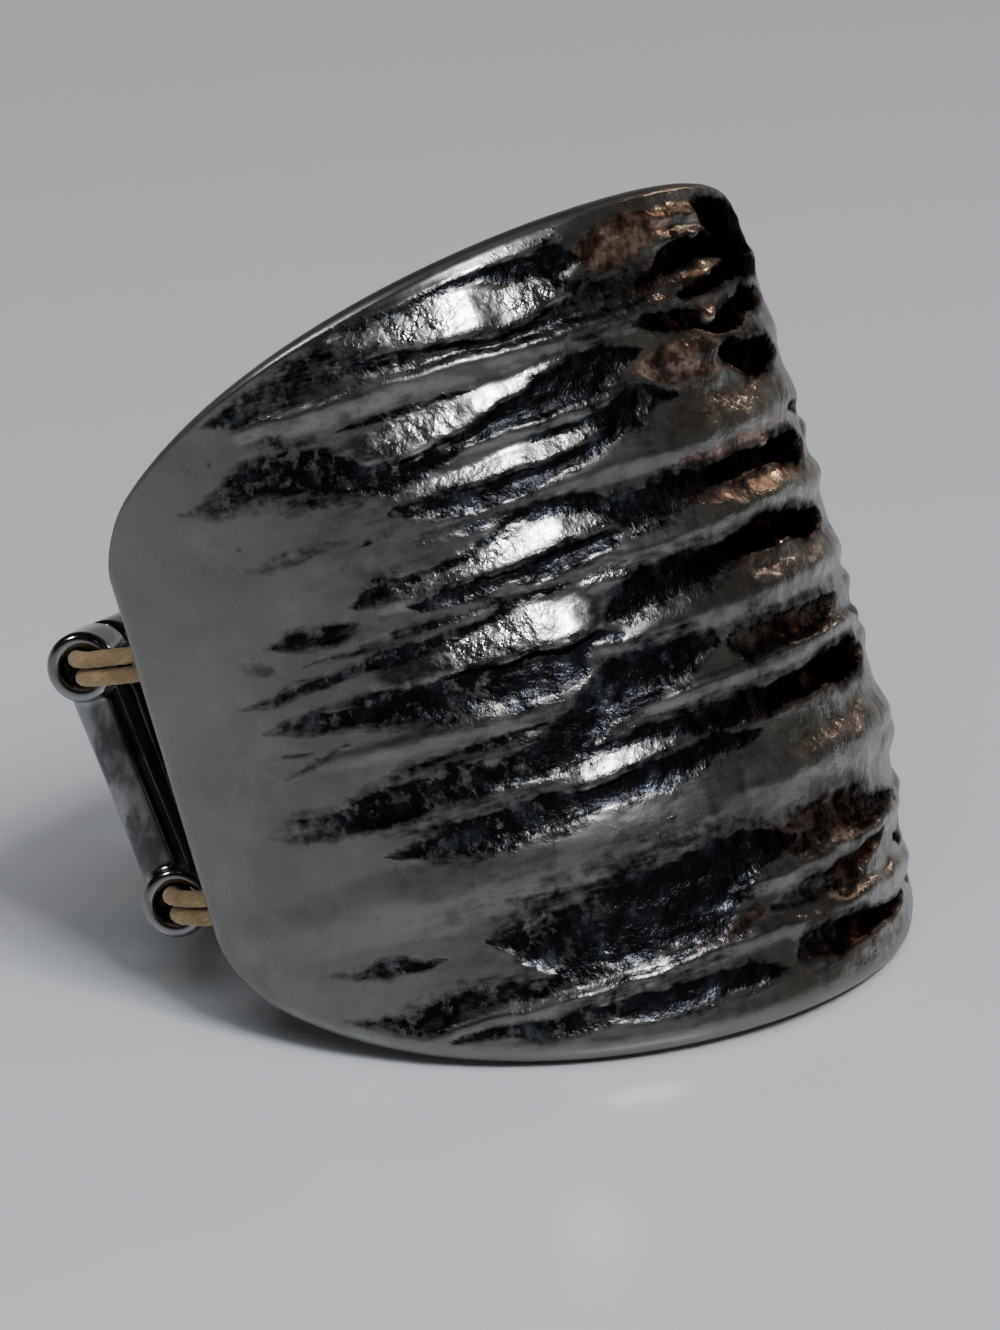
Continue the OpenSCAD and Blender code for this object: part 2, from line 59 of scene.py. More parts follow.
# Grooves and dark patches: depth, darkness, then along each its angle, upper and lower edge. The darkness is patina in
# part, and in part painted dark reflection of the room on faces that would mirror it.
GROOVES = [
    # towards the end at -Y, and over the apex
    (0.07, 0.80, [(64, 7.85, 7.75), (60, 8.15, 7.55), (55, 8.7, 7.65), (50, 9.0, 7.75), (45, 9.1, 7.95), (40, 8.42, 7.8),
                  (30, 8.2, 7.75), (18, 8.18, 7.65), (12, 8.35, 7.55), (6, 8.9, 7.5), (0, 8.7, 7.6), (-6, 8.8, 7.95)]),
    (0.08, 0.95, [(48, 9.45, 9.3), (40, 9.35, 9.05), (35, 9.4, 9.2), (30, 9.6, 9.42), (24, 9.65, 9.4), (18, 9.75, 9.0),
                  (14, 9.8, 9.0), (10, 10.0, 8.6), (6, 9.6, 8.9)]),
    (0.05, 0.95, [(48, 6.95, 6.86), (40, 6.96, 6.75), (34, 7.0, 6.85), (27, 6.92, 6.8)]),
    (0.12, 1.0, [(70, 5.95, 5.85), (66, 6.0, 5.6), (60, 6.7, 5.75), (55, 6.75, 5.6), (50, 6.6, 5.45), (46, 6.1, 5.2),
                 (42, 5.75, 4.95), (38, 5.65, 5.1), (33, 5.75, 5.4)]),
    (0.14, 1.0, [(38, 5.85, 5.6), (30, 6.12, 5.7), (26, 6.3, 5.8), (22, 6.58, 5.8), (18, 6.88, 5.8), (14, 7.05, 5.9),
                 (10, 7.1, 5.95), (6, 6.95, 6.4), (1, 6.85, 6.5)]),
    (0.12, 1.0, [(23, 5.5, 5.25), (18, 5.42, 5.2), (14, 5.5, 5.25), (10, 5.65, 4.9), (6, 6.0, 4.9), (2, 5.8, 5.3),
                 (-2, 5.45, 5.15)]),
    (0.18, 1.0, [(43, 4.65, 4.4), (36, 4.68, 3.95), (30, 4.68, 3.9), (26, 4.72, 3.9), (22, 4.66, 4.1), (18, 4.75, 4.3),
                 (14, 4.95, 4.4), (9, 5.1, 4.75)]),
    (0.03, 0.6, [(40, 3.95, 3.5), (33, 3.95, 3.45), (27, 3.8, 3.6)]),
    (0.03, 0.9, [(46.5, 4.12, 3.95), (44.5, 4.12, 3.95)]), (0.03, 0.9, [(72.6, 6.76, 6.56), (70.8, 6.76, 6.56)]),
    (0.03, 0.35, [(66, 4.12, 4.05), (60, 4.25, 3.98), (55, 4.35, 4.02), (50, 4.42, 4.25)]),
    (0.10, 1.0, [(52, 2.8, 2.45), (46, 3.2, 2.6), (40, 3.0, 2.78), (35, 3.1, 2.85), (30, 3.48, 3.3), (26, 3.68, 3.42),
                 (22, 3.85, 3.35), (18, 3.75, 3.1), (14, 3.5, 2.95)]),
    (0.06, 0.9, [(64, 2.3, 2.15), (60, 2.4, 2.0), (55, 2.35, 1.95), (51, 2.3, 2.12)]),
    (0.04, 0.45, [(69, 2.3, 1.9), (66, 2.1, 1.5), (63, 1.6, 1.3)]),
    (0.14, 1.0, [(43, 2.45, 2.15), (38, 2.45, 2.02), (34, 2.48, 1.98), (30, 2.52, 2.15), (26, 2.6, 1.95),
                 (22, 2.6, 2.0), (18, 2.6, 2.05), (13, 2.65, 2.35)]),
    (0.07, 1.0, [(70, 0.98, 0.82), (66, 1.05, 0.76), (60, 1.15, 0.9), (55, 1.22, 1.0), (50, 1.42, 1.0), (45, 1.42, 1.02),
                 (40, 1.45, 1.2), (35, 1.45, 1.24), (30, 1.8, 1.5), (26, 1.78, 1.6), (21, 1.75, 1.5)]),
    (0.05, 0.7, [(60, 1.62, 1.55), (52, 1.62, 1.45), (45, 1.8, 1.6), (38, 1.85, 1.6), (31, 1.9, 1.78)]),
    (0.16, 1.0, [(68, 0.27, 0.08), (60, 0.36, -0.05), (55, 0.36, -0.25), (50, 0.5, -0.4), (45, 0.4, -0.6),
                 (40, 0.4, -0.7), (35, 0.36, -0.82), (30, 0.3, -0.85), (26, 0.28, -0.8), (22, 0.32, 0.0), (17, 0.2, 0.0)]),
    (0.03, 0.8, [(67, -0.52, -0.62), (61, -0.52, -0.66)]), (0.04, 0.7, [(67, -1.1, -1.2), (61, -0.8, -0.98), (57, -0.48, -0.6)]),
    (0.06, 0.95, [(51, -1.5, -1.58), (44, -1.48, -1.66), (38, -1.4, -1.6), (31, -1.38, -1.58)]),
    (0.12, 1.0, [(72, -2.3, -2.5), (66, -2.15, -2.8), (60, -2.15, -2.72), (55, -1.95, -2.75), (50, -1.8, -2.8),
                 (45, -1.78, -2.72), (40, -1.95, -2.72), (35, -1.9, -2.78), (30, -1.5, -2.85), (26, -1.0, -2.6),
                 (22, -0.6, -2.0), (18, -0.45, -1.6), (14, -0.45, -1.5), (10, -0.45, -1.4), (6, -0.5, -1.15), (2, -0.75, -1.0)]),
    (0.14, 1.0, [(56, -3.45, -3.6), (50, -3.35, -3.85), (45, -3.2, -4.0), (40, -3.15, -4.05), (35, -3.05, -4.1),
                 (30, -3.2, -4.05), (26, -3.32, -4.0), (22, -3.2, -3.9), (18, -3.12, -4.0), (14, -3.05, -3.8),
                 (10, -3.0, -3.68), (6, -3.05, -3.6), (0, -3.15, -3.4)]),
    # lower part
    (0.10, 1.0, [(46, -6.1, -6.3), (43, -5.95, -6.9), (40, -5.85, -7.6), (35, -5.8, -8.05), (30, -5.8, -7.98),
                 (26, -5.55, -8.0), (22, -5.5, -8.08), (18, -5.42, -8.05), (14, -5.55, -7.6), (10, -5.55, -6.95),
                 (6, -5.65, -6.65), (2, -5.85, -6.5), (-2, -5.95, -6.3)]),
    (0.06, 0.95, [(71, -5.98, -6.08), (66, -6.05, -6.25), (60, -6.2, -6.62), (56, -6.2, -6.5), (50, -6.38, -6.5)]),
    (0.09, 0.95, [(69, -7.15, -7.28), (66, -7.3, -7.48), (60, -7.5, -7.95), (55, -7.35, -8.15), (50, -7.3, -7.9),
                  (45, -7.3, -8.05), (39, -7.4, -7.9)]),
    (0.11, 1.0, [(55, -8.38, -8.5), (50, -8.38, -8.56), (45, -8.45, -8.76), (40, -8.55, -9.0), (35, -8.55, -9.12),
                 (30, -8.55, -9.2), (26, -8.6, -9.3), (22, -8.7, -9.38), (18, -8.8, -9.42), (14, -8.8, -9.42),
                 (10, -9.0, -9.4), (7, -9.2, -9.36)]),
    # right of the apex, in view
    (0.24, 1.0, [(-4, 8.6, 8.2), (-10, 9.0, 8.2), (-18, 8.95, 8.3), (-28, 8.8, 8.1), (-44, 8.5, 8.1)]),
    # the next two rows hardly cut in: they paint the top past the apex dark, partly patina and partly painted dark
    # reflection of the room
    (0.05, 1.0, [(-8, 7.85, 7.35), (-16, 7.9, 7.5), (-24, 8.2, 7.55), (-42, 7.9, 7.4)]),
    (0.05, 1.0, [(-17, 9.9, 9.2), (-24, 9.9, 8.6), (-34, 9.7, 8.6), (-48, 9.1, 8.6)]),
    (0.22, 1.0, [(2, 7.5, 7.2), (-4, 7.4, 6.8), (-10, 7.15, 6.6), (-14, 6.9, 6.4), (-20, 7.1, 6.4), (-28, 7.25, 6.6),
                 (-40, 7.1, 6.75)]),
    (0.24, 1.0, [(-13, 6.2, 5.7), (-18, 6.3, 5.4), (-24, 6.0, 4.95), (-30, 5.9, 5.1), (-37, 5.7, 5.3)]),
    (0.28, 1.0, [(17, 3.35, 2.9), (10, 3.3, 2.5), (4, 3.4, 2.6), (-3, 3.4, 2.8), (-10, 3.4, 2.78), (-18, 3.42, 2.8),
                 (-24, 3.4, 2.6), (-30, 3.4, 2.55), (-36, 3.2, 2.75)]),
    (0.30, 1.0, [(19, 0.85, 0.3), (14, 1.3, 0.35), (10, 1.58, 0.45), (6, 1.62, 0.5), (2, 1.55, 0.5), (-3, 1.5, 0.75),
                 (-8, 1.6, 0.9), (-13, 1.65, 0.85), (-18, 1.55, 0.95), (-24, 1.45, 0.7), (-30, 1.4, 0.7), (-36, 1.2, 0.8)]),
    (0.20, 0.75, [(1, -0.5, -1.4), (-3, -0.4, -1.75), (-8, -0.6, -1.75), (-13, -0.8, -1.62), (-18, -0.8, -1.6),
                  (-24, -0.78, -1.4), (-29, -0.9, -1.2)]),
    (0.32, 1.0, [(26, -2.4, -2.58), (18, -2.25, -2.7), (14, -2.15, -2.65), (10, -2.2, -2.95), (2, -2.25, -3.0),
                 (-8, -2.3, -3.0), (-18, -2.2, -3.0), (-24, -2.2, -3.1), (-31, -2.2, -3.1), (-37, -2.35, -2.9)]),
    (0.14, 0.75, [(3, -5.8, -6.5), (-3, -5.45, -6.8), (-8, -5.45, -6.7), (-13, -5.45, -6.55), (-18, -5.6, -6.8),
                  (-24, -6.1, -6.7), (-34, -6.3, -6.6)]),
    (0.18, 0.72, [(9, -7.6, -7.8), (2, -7.35, -8.0), (-3, -7.25, -8.0), (-8, -7.3, -8.15), (-13, -7.15, -7.95),
                  (-18, -7.05, -7.5), (-26, -7.0, -7.3)]),
    (0.20, 0.9, [(5, -8.95, -9.3), (2, -8.65, -9.4), (-3, -8.5, -9.5), (-8, -8.65, -9.45), (-13, -8.7, -9.35),
                 (-18, -8.85, -9.35), (-30, -8.9, -9.15)]),
    # on the far side
    (0.16, 0.9, [(-34, 9.5, 9.3), (-46, 9.2, 8.75), (-58, 8.7, 8.5)]), (0.22, 1.0, [(-47, 5.0, 4.8), (-55, 5.1, 4.5), (-70, 4.8, 4.6)]),
    (0.18, 0.9, [(-46, 7.9, 7.7), (-55, 7.75, 7.35), (-64, 7.4, 7.2)]), (0.14, 0.9, [(-30, 4.0, 3.8), (-48, 4.05, 3.6), (-62, 3.85, 3.65)]),
    (0.26, 1.0, [(-44, 2.7, 2.5), (-60, 2.95, 2.2), (-74, 2.6, 2.4)]), (0.22, 0.9, [(-50, 1.7, 1.5), (-62, 1.7, 1.15), (-76, 1.4, 1.2)]),
    (0.26, 1.0, [(-42, -0.1, -0.3), (-56, 0.05, -0.65), (-72, -0.3, -0.5)]), (0.18, 0.9, [(-32, -1.45, -1.65), (-50, -1.3, -1.8), (-66, -1.5, -1.7)]),
    (0.28, 1.0, [(-48, -3.2, -3.4), (-62, -2.85, -3.55), (-76, -3.0, -3.2)]), (0.14, 0.8, [(-40, -4.45, -4.65), (-50, -4.3, -4.75), (-60, -4.4, -4.6)]),
    (0.22, 1.0, [(-52, -5.5, -5.7), (-64, -5.2, -5.8), (-74, -5.3, -5.5)]), (0.22, 1.0, [(-30, -7.5, -7.7), (-46, -7.05, -7.75), (-62, -7.1, -7.3)]),
    (0.16, 0.9, [(-36, -8.7, -8.9), (-46, -8.4, -8.85), (-56, -8.3, -8.5)]), (0.12, 0.8, [(-58, -6.7, -6.9), (-64, -6.5, -6.9), (-70, -6.5, -6.7)]),
]
# Saw-tooth ridges: how steep the long upper flank is, then its angle, upper edge and crest.
FLANKS = [
    (0.28, [(47, 9.0, 8.4), (40, 9.1, 8.4), (35, 9.2, 8.4), (30, 9.4, 8.2), (26, 9.35, 8.1), (22, 9.1, 8.1), (18, 9.0, 8.2),
            (14, 9.0, 8.4), (9, 8.9, 8.5)]),
    (0.28, [(47, 6.6, 6.1), (40, 6.7, 5.85), (35, 6.75, 5.95), (30, 6.8, 6.1), (26, 6.95, 6.3), (22, 7.0, 6.6),
            (18, 7.15, 6.85), (13, 7.25, 7.0)]),
    (0.30, [(43, 5.0, 4.65), (35, 5.1, 4.65), (30, 5.2, 4.65), (26, 5.3, 4.72), (22, 5.25, 4.65), (18, 5.2, 4.8), (11, 5.3, 5.0)]),
    (0.28, [(47, 3.0, 2.5), (40, 2.85, 2.42), (35, 3.2, 2.5), (30, 3.3, 2.5), (26, 3.4, 2.58), (22, 3.3, 2.58), (18, 3.15, 2.65),
            (12, 3.1, 2.8)]),
    (0.28, [(53, 1.0, 0.6), (45, 1.0, 0.5), (40, 1.2, 0.4), (35, 1.2, 0.36), (30, 1.4, 0.28), (26, 1.5, 0.28), (22, 1.4, 0.32),
            (19, 1.3, 0.7)]),
    (0.30, [(21, 1.75, 1.3), (15, 1.8, 1.4), (11, 1.85, 1.55)]),
    (0.32, [(33, -2.75, -3.05), (28, -2.65, -3.25), (24, -2.65, -3.25), (20, -2.7, -3.1), (13, -2.75, -3.0)]),
    (0.46, [(-6, 10.0, 9.62), (-13, 9.9, 9.52), (-22, 9.8, 9.5)]), (0.46, [(-6, 9.35, 8.98), (-13, 9.25, 8.92), (-22, 9.1, 8.85)]),
    (0.42, [(-6, 8.25, 7.9), (-14, 8.25, 7.9), (-24, 8.1, 7.9)]), (0.36, [(-8, 7.25, 6.85), (-17, 7.1, 6.75), (-27, 6.95, 6.75)]),
]
# Rounded ridges: start and end angle and height, half width, height, where the crest lies from -1 to 1.
RIDGES = [
    (60, 7.40, -16, 7.55, 0.42, 0.12, 0.3), (34, 5.62, 8, 5.75, 0.26, 0.08, 0.0), (30, 4.20, -62, 4.40, 0.80, 0.16, -0.25),
    (24, 2.00, -64, 2.05, 0.58, 0.20, 0.0), (22, -0.05, -68, 0.20, 0.60, 0.165, -0.15), (22, -1.80, -46, -1.85, 0.40, 0.18, 0.3),
    (62, -0.95, 26, -1.10, 0.30, 0.04, 0.2), (84, -4.85, -78, -4.55, 1.10, 0.11, 0.0), (6, -4.70, -78, -4.25, 0.90, 0.15, 0.1),
    (60, -8.25, 0, -8.30, 0.32, 0.12, 0.2), (12, -7.05, -40, -6.90, 0.42, 0.18, 0.2), (6, -8.45, -50, -8.30, 0.44, 0.16, 0.2),
    (2, 6.20, -66, 6.15, 0.58, 0.10, -0.2), (-22, 9.30, -52, 8.95, 0.34, 0.07, 0.0), (-20, 7.95, -52, 7.85, 0.36, 0.09, 0.0),
    (-40, 3.20, -74, 3.05, 0.42, 0.20, 0.1), (-40, -0.95, -76, -1.00, 0.46, 0.20, 0.1), (-36, -2.35, -76, -2.45, 0.42, 0.16, 0.1),
    (-30, -5.20, -66, -5.00, 0.50, 0.16, 0.1), (-34, -6.60, -66, -6.40, 0.50, 0.16, 0.1),
]
# Copper-brown, rougher patches round and past the apex: amount, then angle, upper and lower edge.
COPPER = [
    (1.0, [(9, 9.6, 9.0), (2, 9.95, 8.75), (-6, 9.9, 9.1), (-14, 9.8, 9.3), (-22, 9.6, 9.35)]),
    (1.0, [(5, 6.5, 6.1), (-1, 6.55, 5.6), (-8, 6.5, 5.5), (-13, 6.2, 5.5), (-18, 5.9, 5.6)]),
    (0.8, [(2, 3.75, 3.5), (-8, 3.85, 3.4), (-16, 3.9, 3.45), (-26, 3.8, 3.5)]),
    (0.8, [(4, 2.7, 2.5), (-6, 2.75, 2.3), (-16, 2.75, 2.2), (-28, 2.7, 2.3)]),
    (0.7, [(0, 8.2, 7.9), (-8, 8.15, 7.8), (-18, 8.1, 7.8)]), (0.8, [(-3, -0.6, -1.5), (-10, -0.9, -1.6), (-20, -0.9, -1.5)]),
    (0.8, [(8, -5.9, -6.6), (-4, -5.6, -6.7), (-12, -5.6, -6.6), (-20, -5.8, -6.7)]),
    (0.8, [(-4, -7.4, -8.0), (-12, -7.2, -7.9), (-22, -7.1, -7.4)]), (0.9, [(2, -8.9, -9.4), (-6, -9.0, -9.5), (-16, -8.95, -9.35)]),
    (0.8, [(24, -7.9, -8.15), (16, -7.7, -8.1), (9, -7.5, -7.8)]), (0.6, [(10, -2.85, -3.1), (-4, -2.95, -3.2), (-16, -3.0, -3.2)]),
    (0.6, [(0, 0.85, 0.6), (-14, 0.9, 0.6)]), (0.5, [(-60, 7.3, 6.2), (-78, 6.9, 6.3)]), (0.5, [(-56, -3.6, -4.8), (-76, -3.8, -4.5)]),
]

# Small flats worn on the ridges, sloping to the upper rim: angle, height, size.
FLATS = [(-15.4, 9.55, 0.7), (-16.0, 9.04, 0.8), (-15.4, 8.12, 1.0), (-14.0, 6.96, 1.1), (-19.0, 3.48, 1.0),
         (-19.0, 2.56, 0.9), (-15.8, 0.84, 0.6), (-17.6, -3.20, 0.5)]

# ---------------------------------------------------------------- smooth noise
def noise_grid(seed, shape=(257, 257)):
    return np.random.RandomState(seed).uniform(-1, 1, shape)

def noise(x, y, seed):
    """Smooth value noise in -1..1 over one unit cells."""
    g = noise_grid(seed)
    x0, y0 = np.floor(x).astype(int), np.floor(y).astype(int)
    fx, fy = x - x0, y - y0
    fx, fy = fx * fx * fx * (fx * (fx * 6 - 15) + 10), fy * fy * fy * (fy * (fy * 6 - 15) + 10)
    a, b = g[x0 % 256, y0 % 256], g[(x0 + 1) % 256, y0 % 256]
    c, d = g[x0 % 256, (y0 + 1) % 256], g[(x0 + 1) % 256, (y0 + 1) % 256]
    return (a * (1 - fx) + b * fx) * (1 - fy) + (c * (1 - fx) + d * fx) * fy

def fbm(x, y, seed, octaves=3, gain=0.5):
    s, amp, total = 0, 1.0, 0.0
    for i in range(octaves):
        s = s + amp * noise(x * 2 ** i + 13.7 * i, y * 2 ** i + 7.3 * i, seed + i)
        total += amp
        amp *= gain
    return s / total

def step(lo, hi, v):
    t = np.clip((v - lo) / (hi - lo), 0, 1)
    return t * t * (3 - 2 * t)

# ---------------------------------------------------------------- shield surface
def arc_mm(a):
    return ring_r * np.abs(a) * math.pi / 180

def smooth_end(s, r):
    return np.where(s >= r, 0, r - np.sqrt(np.maximum(r * r - (r - s) ** 2, 0)))

def half_w(a):
    return (shield_w / 2 * np.maximum(1 - (arc_mm(a) / oval_a) ** oval_n, 0.01) ** (1 / oval_n)
            - smooth_end(arc_mm(end_angle) - arc_mm(a), corner_r))

def thick(a):
    return wall - 2 * smooth_end(arc_mm(end_angle) - arc_mm(a) + 0.004, wall * 0.49)

def along(points, a, z, blunt=1.2):
    """Where a point lies in a band: 1 on its middle line and -1 .. 1 across, and how full the band is there."""
    p = np.array(points, float)[::-1]
    top, low = np.interp(a, p[:, 0], p[:, 1]), np.interp(a, p[:, 0], p[:, 2])
    ends = np.minimum(a - p[0, 0], p[-1, 0] - a) * ring_r * math.pi / 180
    t = np.clip(ends / blunt, 0, 1)
    t = np.sqrt(t * (2 - t))
    return (2 * z - top - low) / np.maximum((top - low) * np.maximum(t, 1e-3), 1e-4), t, top, low

def relief(a, z):
    """Height of the ridges and grooves, how dark a point is, how near a crest, how coppery."""
    s = a * ring_r * math.pi / 180
    wa = a + 1.6 * noise(a / 9 + 3, z / 1.3, 11) + 0.8 * noise(a / 3.1, z / 0.6, 12)
    wz = (z + 0.06 * noise(a / 10, z / 2.1 + 5, 13) + 0.06 * noise(a / 4.3, z / 0.9, 14)
          + 0.03 * noise(a / 1.7, z / 0.5, 15))
    h, dark, crest, copper = np.zeros_like(a), np.zeros_like(a), np.zeros_like(a), np.zeros_like(a)
    for a0, z0, a1, z1, hw, ht, v0 in RIDGES:
        u = (wa - a0) / (a1 - a0)
        t = np.sin(np.pi * np.clip(u, 0, 1)) ** 0.4
        v = (wz - z0 - (z1 - z0) * u) / (hw * np.maximum(t, 1e-3) ** 0.5)
        d = np.where(v < v0, (v0 - v) / (1 + v0), (v - v0) / (1 - v0))
        k = np.where((u > 0) & (u < 1) & (d < 1), t * (1 - np.clip(d, 0, 1) ** 1.6) ** 1.5, 0)
        h += ht * k
    for slope, points in FLANKS:
        v, t, top, low = along(points, wa, wz, 1.6)
        rise = slope * (top - low) * t
        up = np.clip((top - wz) / (top - low), 0, 1)
        # rounded at the crest and at the foot of the flank
        up = up - 0.10 * np.exp(-((1 - up) / 0.12) ** 2) + 0.02 * np.exp(-(up / 0.08) ** 2)
        under = 1 - step(0.0, 0.24, low - wz)
        h += np.where(t > 0, rise * np.where(wz >= low, up, 0.90 * under), 0)
        crest = np.maximum(crest, t * step(1.3, 0.9, np.abs(v)))
    # long tongues and chipped edges of the dark bands and of the copper-brown patches
    ragged = fbm(s / 1.5 + 0.6 * noise(s / 1.2, z / 0.5, 28), z / 0.21, 21, 3, 0.62) + 0.35 * fbm(s / 0.42, z / 0.20, 25, 2)
    # the grooves are shallow and pale between the two runs of ridges
    still = 1 - 0.85 * np.exp(-((a + 43) / 8.0) ** 2)
    calm = 1 - 0.8 * np.exp(-((a + 43) / 6.5) ** 2) * step(8.2, 6.8, z)
    ragged = ragged * (1 - 0.55 * step(2, -12, a))
    for depth, amount, points in GROOVES:
        v, t, top, low = along(points, wa, wz)
        full = np.where(t > 0, 1 - np.abs(v) ** 2.2, -9)
        soft = np.minimum(depth, 0.075 * (top - low) * step(-14, 2, a) * (1 - 0.72 * step(38, 56, a)) + depth * step(2, -14, a))
        h -= soft * still * t * step(-0.10, 1.0, full + 0.15 * ragged)
        dark = np.maximum(dark, amount * calm * step(-0.60, 0.40, full + 0.60 * ragged))
        # a wider, softer margin of dark round each band: painted shade over the groove lips, hiding their bright
        # reflection
        dark = np.maximum(dark, 0.70 * amount * calm * step(-3.4, 0.4, full + 1.6 * ragged))
    for amount, points in COPPER:
        v, t, top, low = along(points, wa, wz)
        full = np.where(t > 0, 1 - v * v, -9)
        copper = np.maximum(copper, amount * step(-0.25, 0.25, full + 0.6 * ragged))
    for a0, z0, size in FLATS:
        w_, mid_i = flat_spot(a, z, a0, z0, size)
        h = h * (1 - w_) + (h.flat[mid_i] - 0.44 * (z - z0)) * w_
        dark = dark * (1 - w_)
        copper = np.maximum(copper, 0.8 * w_)
    return h, dark, crest, copper

def flat_spot(a, z, a0, z0, size):
    near = (((a - a0) * ring_r * math.pi / 180 / 0.26) ** 2 + ((z - z0) / 0.22) ** 2) / size ** 2
    return np.exp(-near ** 2), int(np.argmin(near))

def flat_spots(a, z):
    return np.max([flat_spot(a, z, *row)[0] for row in FLATS], 0)

def drawn_in(a, z):
    return ((0.55 * np.clip((-z - 4.6) / 4.2, 0, 1) + 0.16 * np.clip((z - 8) / 1.5, 0, 1))
            * np.clip((10 - a) / 45, 0, 1))

def chamfer(a):
    """How far the outer face leans back beside its upper rim."""
    return 0.30 * step(54, 40, a) * step(4, 14, a)

def outer_r(a, z):
    h, dark, crest, copper = relief(a, z)
    s = arc_mm(a) * np.sign(a)
    middle = np.clip((74 - np.abs(a)) / 14, 0, 1) * np.clip((half_w(a) - np.abs(z)) / 0.5, 0, 1)
    # pitted floor of the grooves, and wrinkled skin on the crests near them
    pits = fbm(s / 0.40, z / 0.17, 31, 3, 0.65)
    fine = fbm(s / 0.20, z / 0.13, 35, 2, 0.6)
    crumple = (noise(s / 0.62 + 0.6 * noise(s / 0.9, z / 0.5, 44), z / 0.36 + 0.5 * noise(s / 0.7, z / 0.6, 45), 41)
               + 0.55 * noise(s / 0.33, z / 0.24, 47))
    foil = (step(0.10, 0.55, crest) * (0.55 + 0.45 * step(-0.4, 0.3, noise(s / 1.9, z / 0.8, 51)))
            * np.clip((a - 1) / 8, 0, 1) * (1 - 0.85 * np.exp(-((a - 25) / 6.0) ** 2)) * (1 - 0.75 * step(34, 50, a)))
    swell = (0.016 * noise(s / 3.7, z / 1.7, 61) + 0.004 * noise(s / 1.1, z / 0.9, 62)
             + step(66, 36, np.abs(a)) * (0.009 * noise(s / 1.4, z / 0.55, 63) + 0.004 * noise(s / 0.6, z / 0.28, 64))
             + step(8, -4, a) * step(-42, -28, a) * (0.016 * noise(s / 1.0, z / 0.42, 66) + 0.006 * noise(s / 0.45, z / 0.25, 67)))
    rough = (dark * (0.020 * pits + 0.010 * fine) * step(-34, -16, a) + copper * 0.014 * pits
             + foil * (1 - dark) * 0.014 * crumple) * (1 - 0.85 * flat_spots(a, z))
    edge = np.clip((half_w(a) - 0.3 - np.abs(z)) / 0.3, 0, 1)
    r = ring_r - (wall - thick(a)) / 2 - 0.05 - drawn_in(a, z) + edge * (h + swell) + middle * rough
    r = r - chamfer(a) * np.clip(z - (half_w(a) - 0.54), 0, 0.30)
    facet = chamfer(a) / 0.3 * step(half_w(a) - 0.62, half_w(a) - 0.5, z)
    return r, dark * middle, foil * middle, np.maximum(crest * middle, facet), copper * middle

# ---------------------------------------------------------------- band route
def heading(k):
    return 270 + (k - (n_links - 1) / 2) * bend

def direction(h):
    return np.array([math.cos(rad(h)), math.sin(rad(h))])

link_gap = ((2 * band_y + link_l * sum(math.sin(rad(heading(k))) for k in range(n_links)))
            / -sum(math.sin(rad(heading(k + 0.5))) for k in range(n_links - 1)))

def mouth(k):
    if k == 0:
        return np.array([-band_x, band_y])
    return mouth(k - 1) + link_l * direction(heading(k - 1)) + link_gap * direction(heading(k - 0.5))

def mid(k):
    return mouth(k) + link_l / 2 * direction(heading(k))

# lean about the bore in degrees, and shift along the finger, of each link
HANG = [(-5.4, 0), (-4, -0.04), (-2.6, 0), (-1.2, -0.03), (0.3, -0.03), (1.6, 0.03), (2.6, 0), (3.4, 0.06)]
lug_a = end_angle - math.degrees(math.asin(lug_l / 2 / lug_r))

def lug_mid(side):
    return np.array([lug_r * math.cos(rad(lug_a)), side * lug_r * math.sin(rad(lug_a))])

def lug_heading(side):
    return lug_a + 90 if side > 0 else 90 - lug_a

def in_link(k, s, z):
    c, h, r = mid(k) + s * direction(heading(k)), rad(heading(k)), rad(HANG[k][0])
    return np.array([c[0] - z * math.sin(r) * math.sin(h), -(c[1] + z * math.sin(r) * math.cos(h)),
                     z * math.cos(r) - sag + HANG[k][1]])

def in_lug(side, s, out, z):
    c = lug_mid(side) + s * direction(lug_heading(side))
    m = np.linalg.norm(c)
    return np.array([c[0] * (m + out) / m, -c[1] * (m + out) / m, z - lug_drop])

# ---------------------------------------------------------------- how the ring rests
def eyelet_reach(k, z, u):
    d = float(np.dot([direction(heading(k))[0], -direction(heading(k))[1], 0], u))
    return (float(np.dot(in_link(k, 0, z), u)) + (link_l / 2 - lip) * abs(d)
            + (tube_r - lip) * math.sqrt(1 - d * d) + lip)

def rim_low(t):
    a = np.arange(-66, 67, 6.0)
    return float(np.min((ring_r - wall / 2) * np.cos(np.radians(a)) * math.sin(t)
                        - (half_w(a) - wall / 2) * math.cos(t) - wall / 2))

def band_low(t):
    return -max(eyelet_reach(k, -row_z, [-math.sin(t), 0, -math.cos(t)]) for k in range(n_links))

lo_t, hi_t = rad(5), rad(35)
for _ in range(24):
    t_mid = (lo_t + hi_t) / 2
    lo_t, hi_t = (t_mid, hi_t) if rim_low(t_mid) < band_low(t_mid) else (lo_t, t_mid)
lean = (lo_t + hi_t) / 2
LEAN_M = np.array([[math.cos(lean), 0, -math.sin(lean)], [0, 1, 0], [math.sin(lean), 0, math.cos(lean)]])
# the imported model's own place: centred in x and y, lowest point on the floor
SHIFT = np.array([-3.09563, 0.0, 6.49297])

def place(p):
    """Finger frame in mm to the row frame in metres."""
    return (np.asarray(p) @ LEAN_M.T + SHIFT) * MM

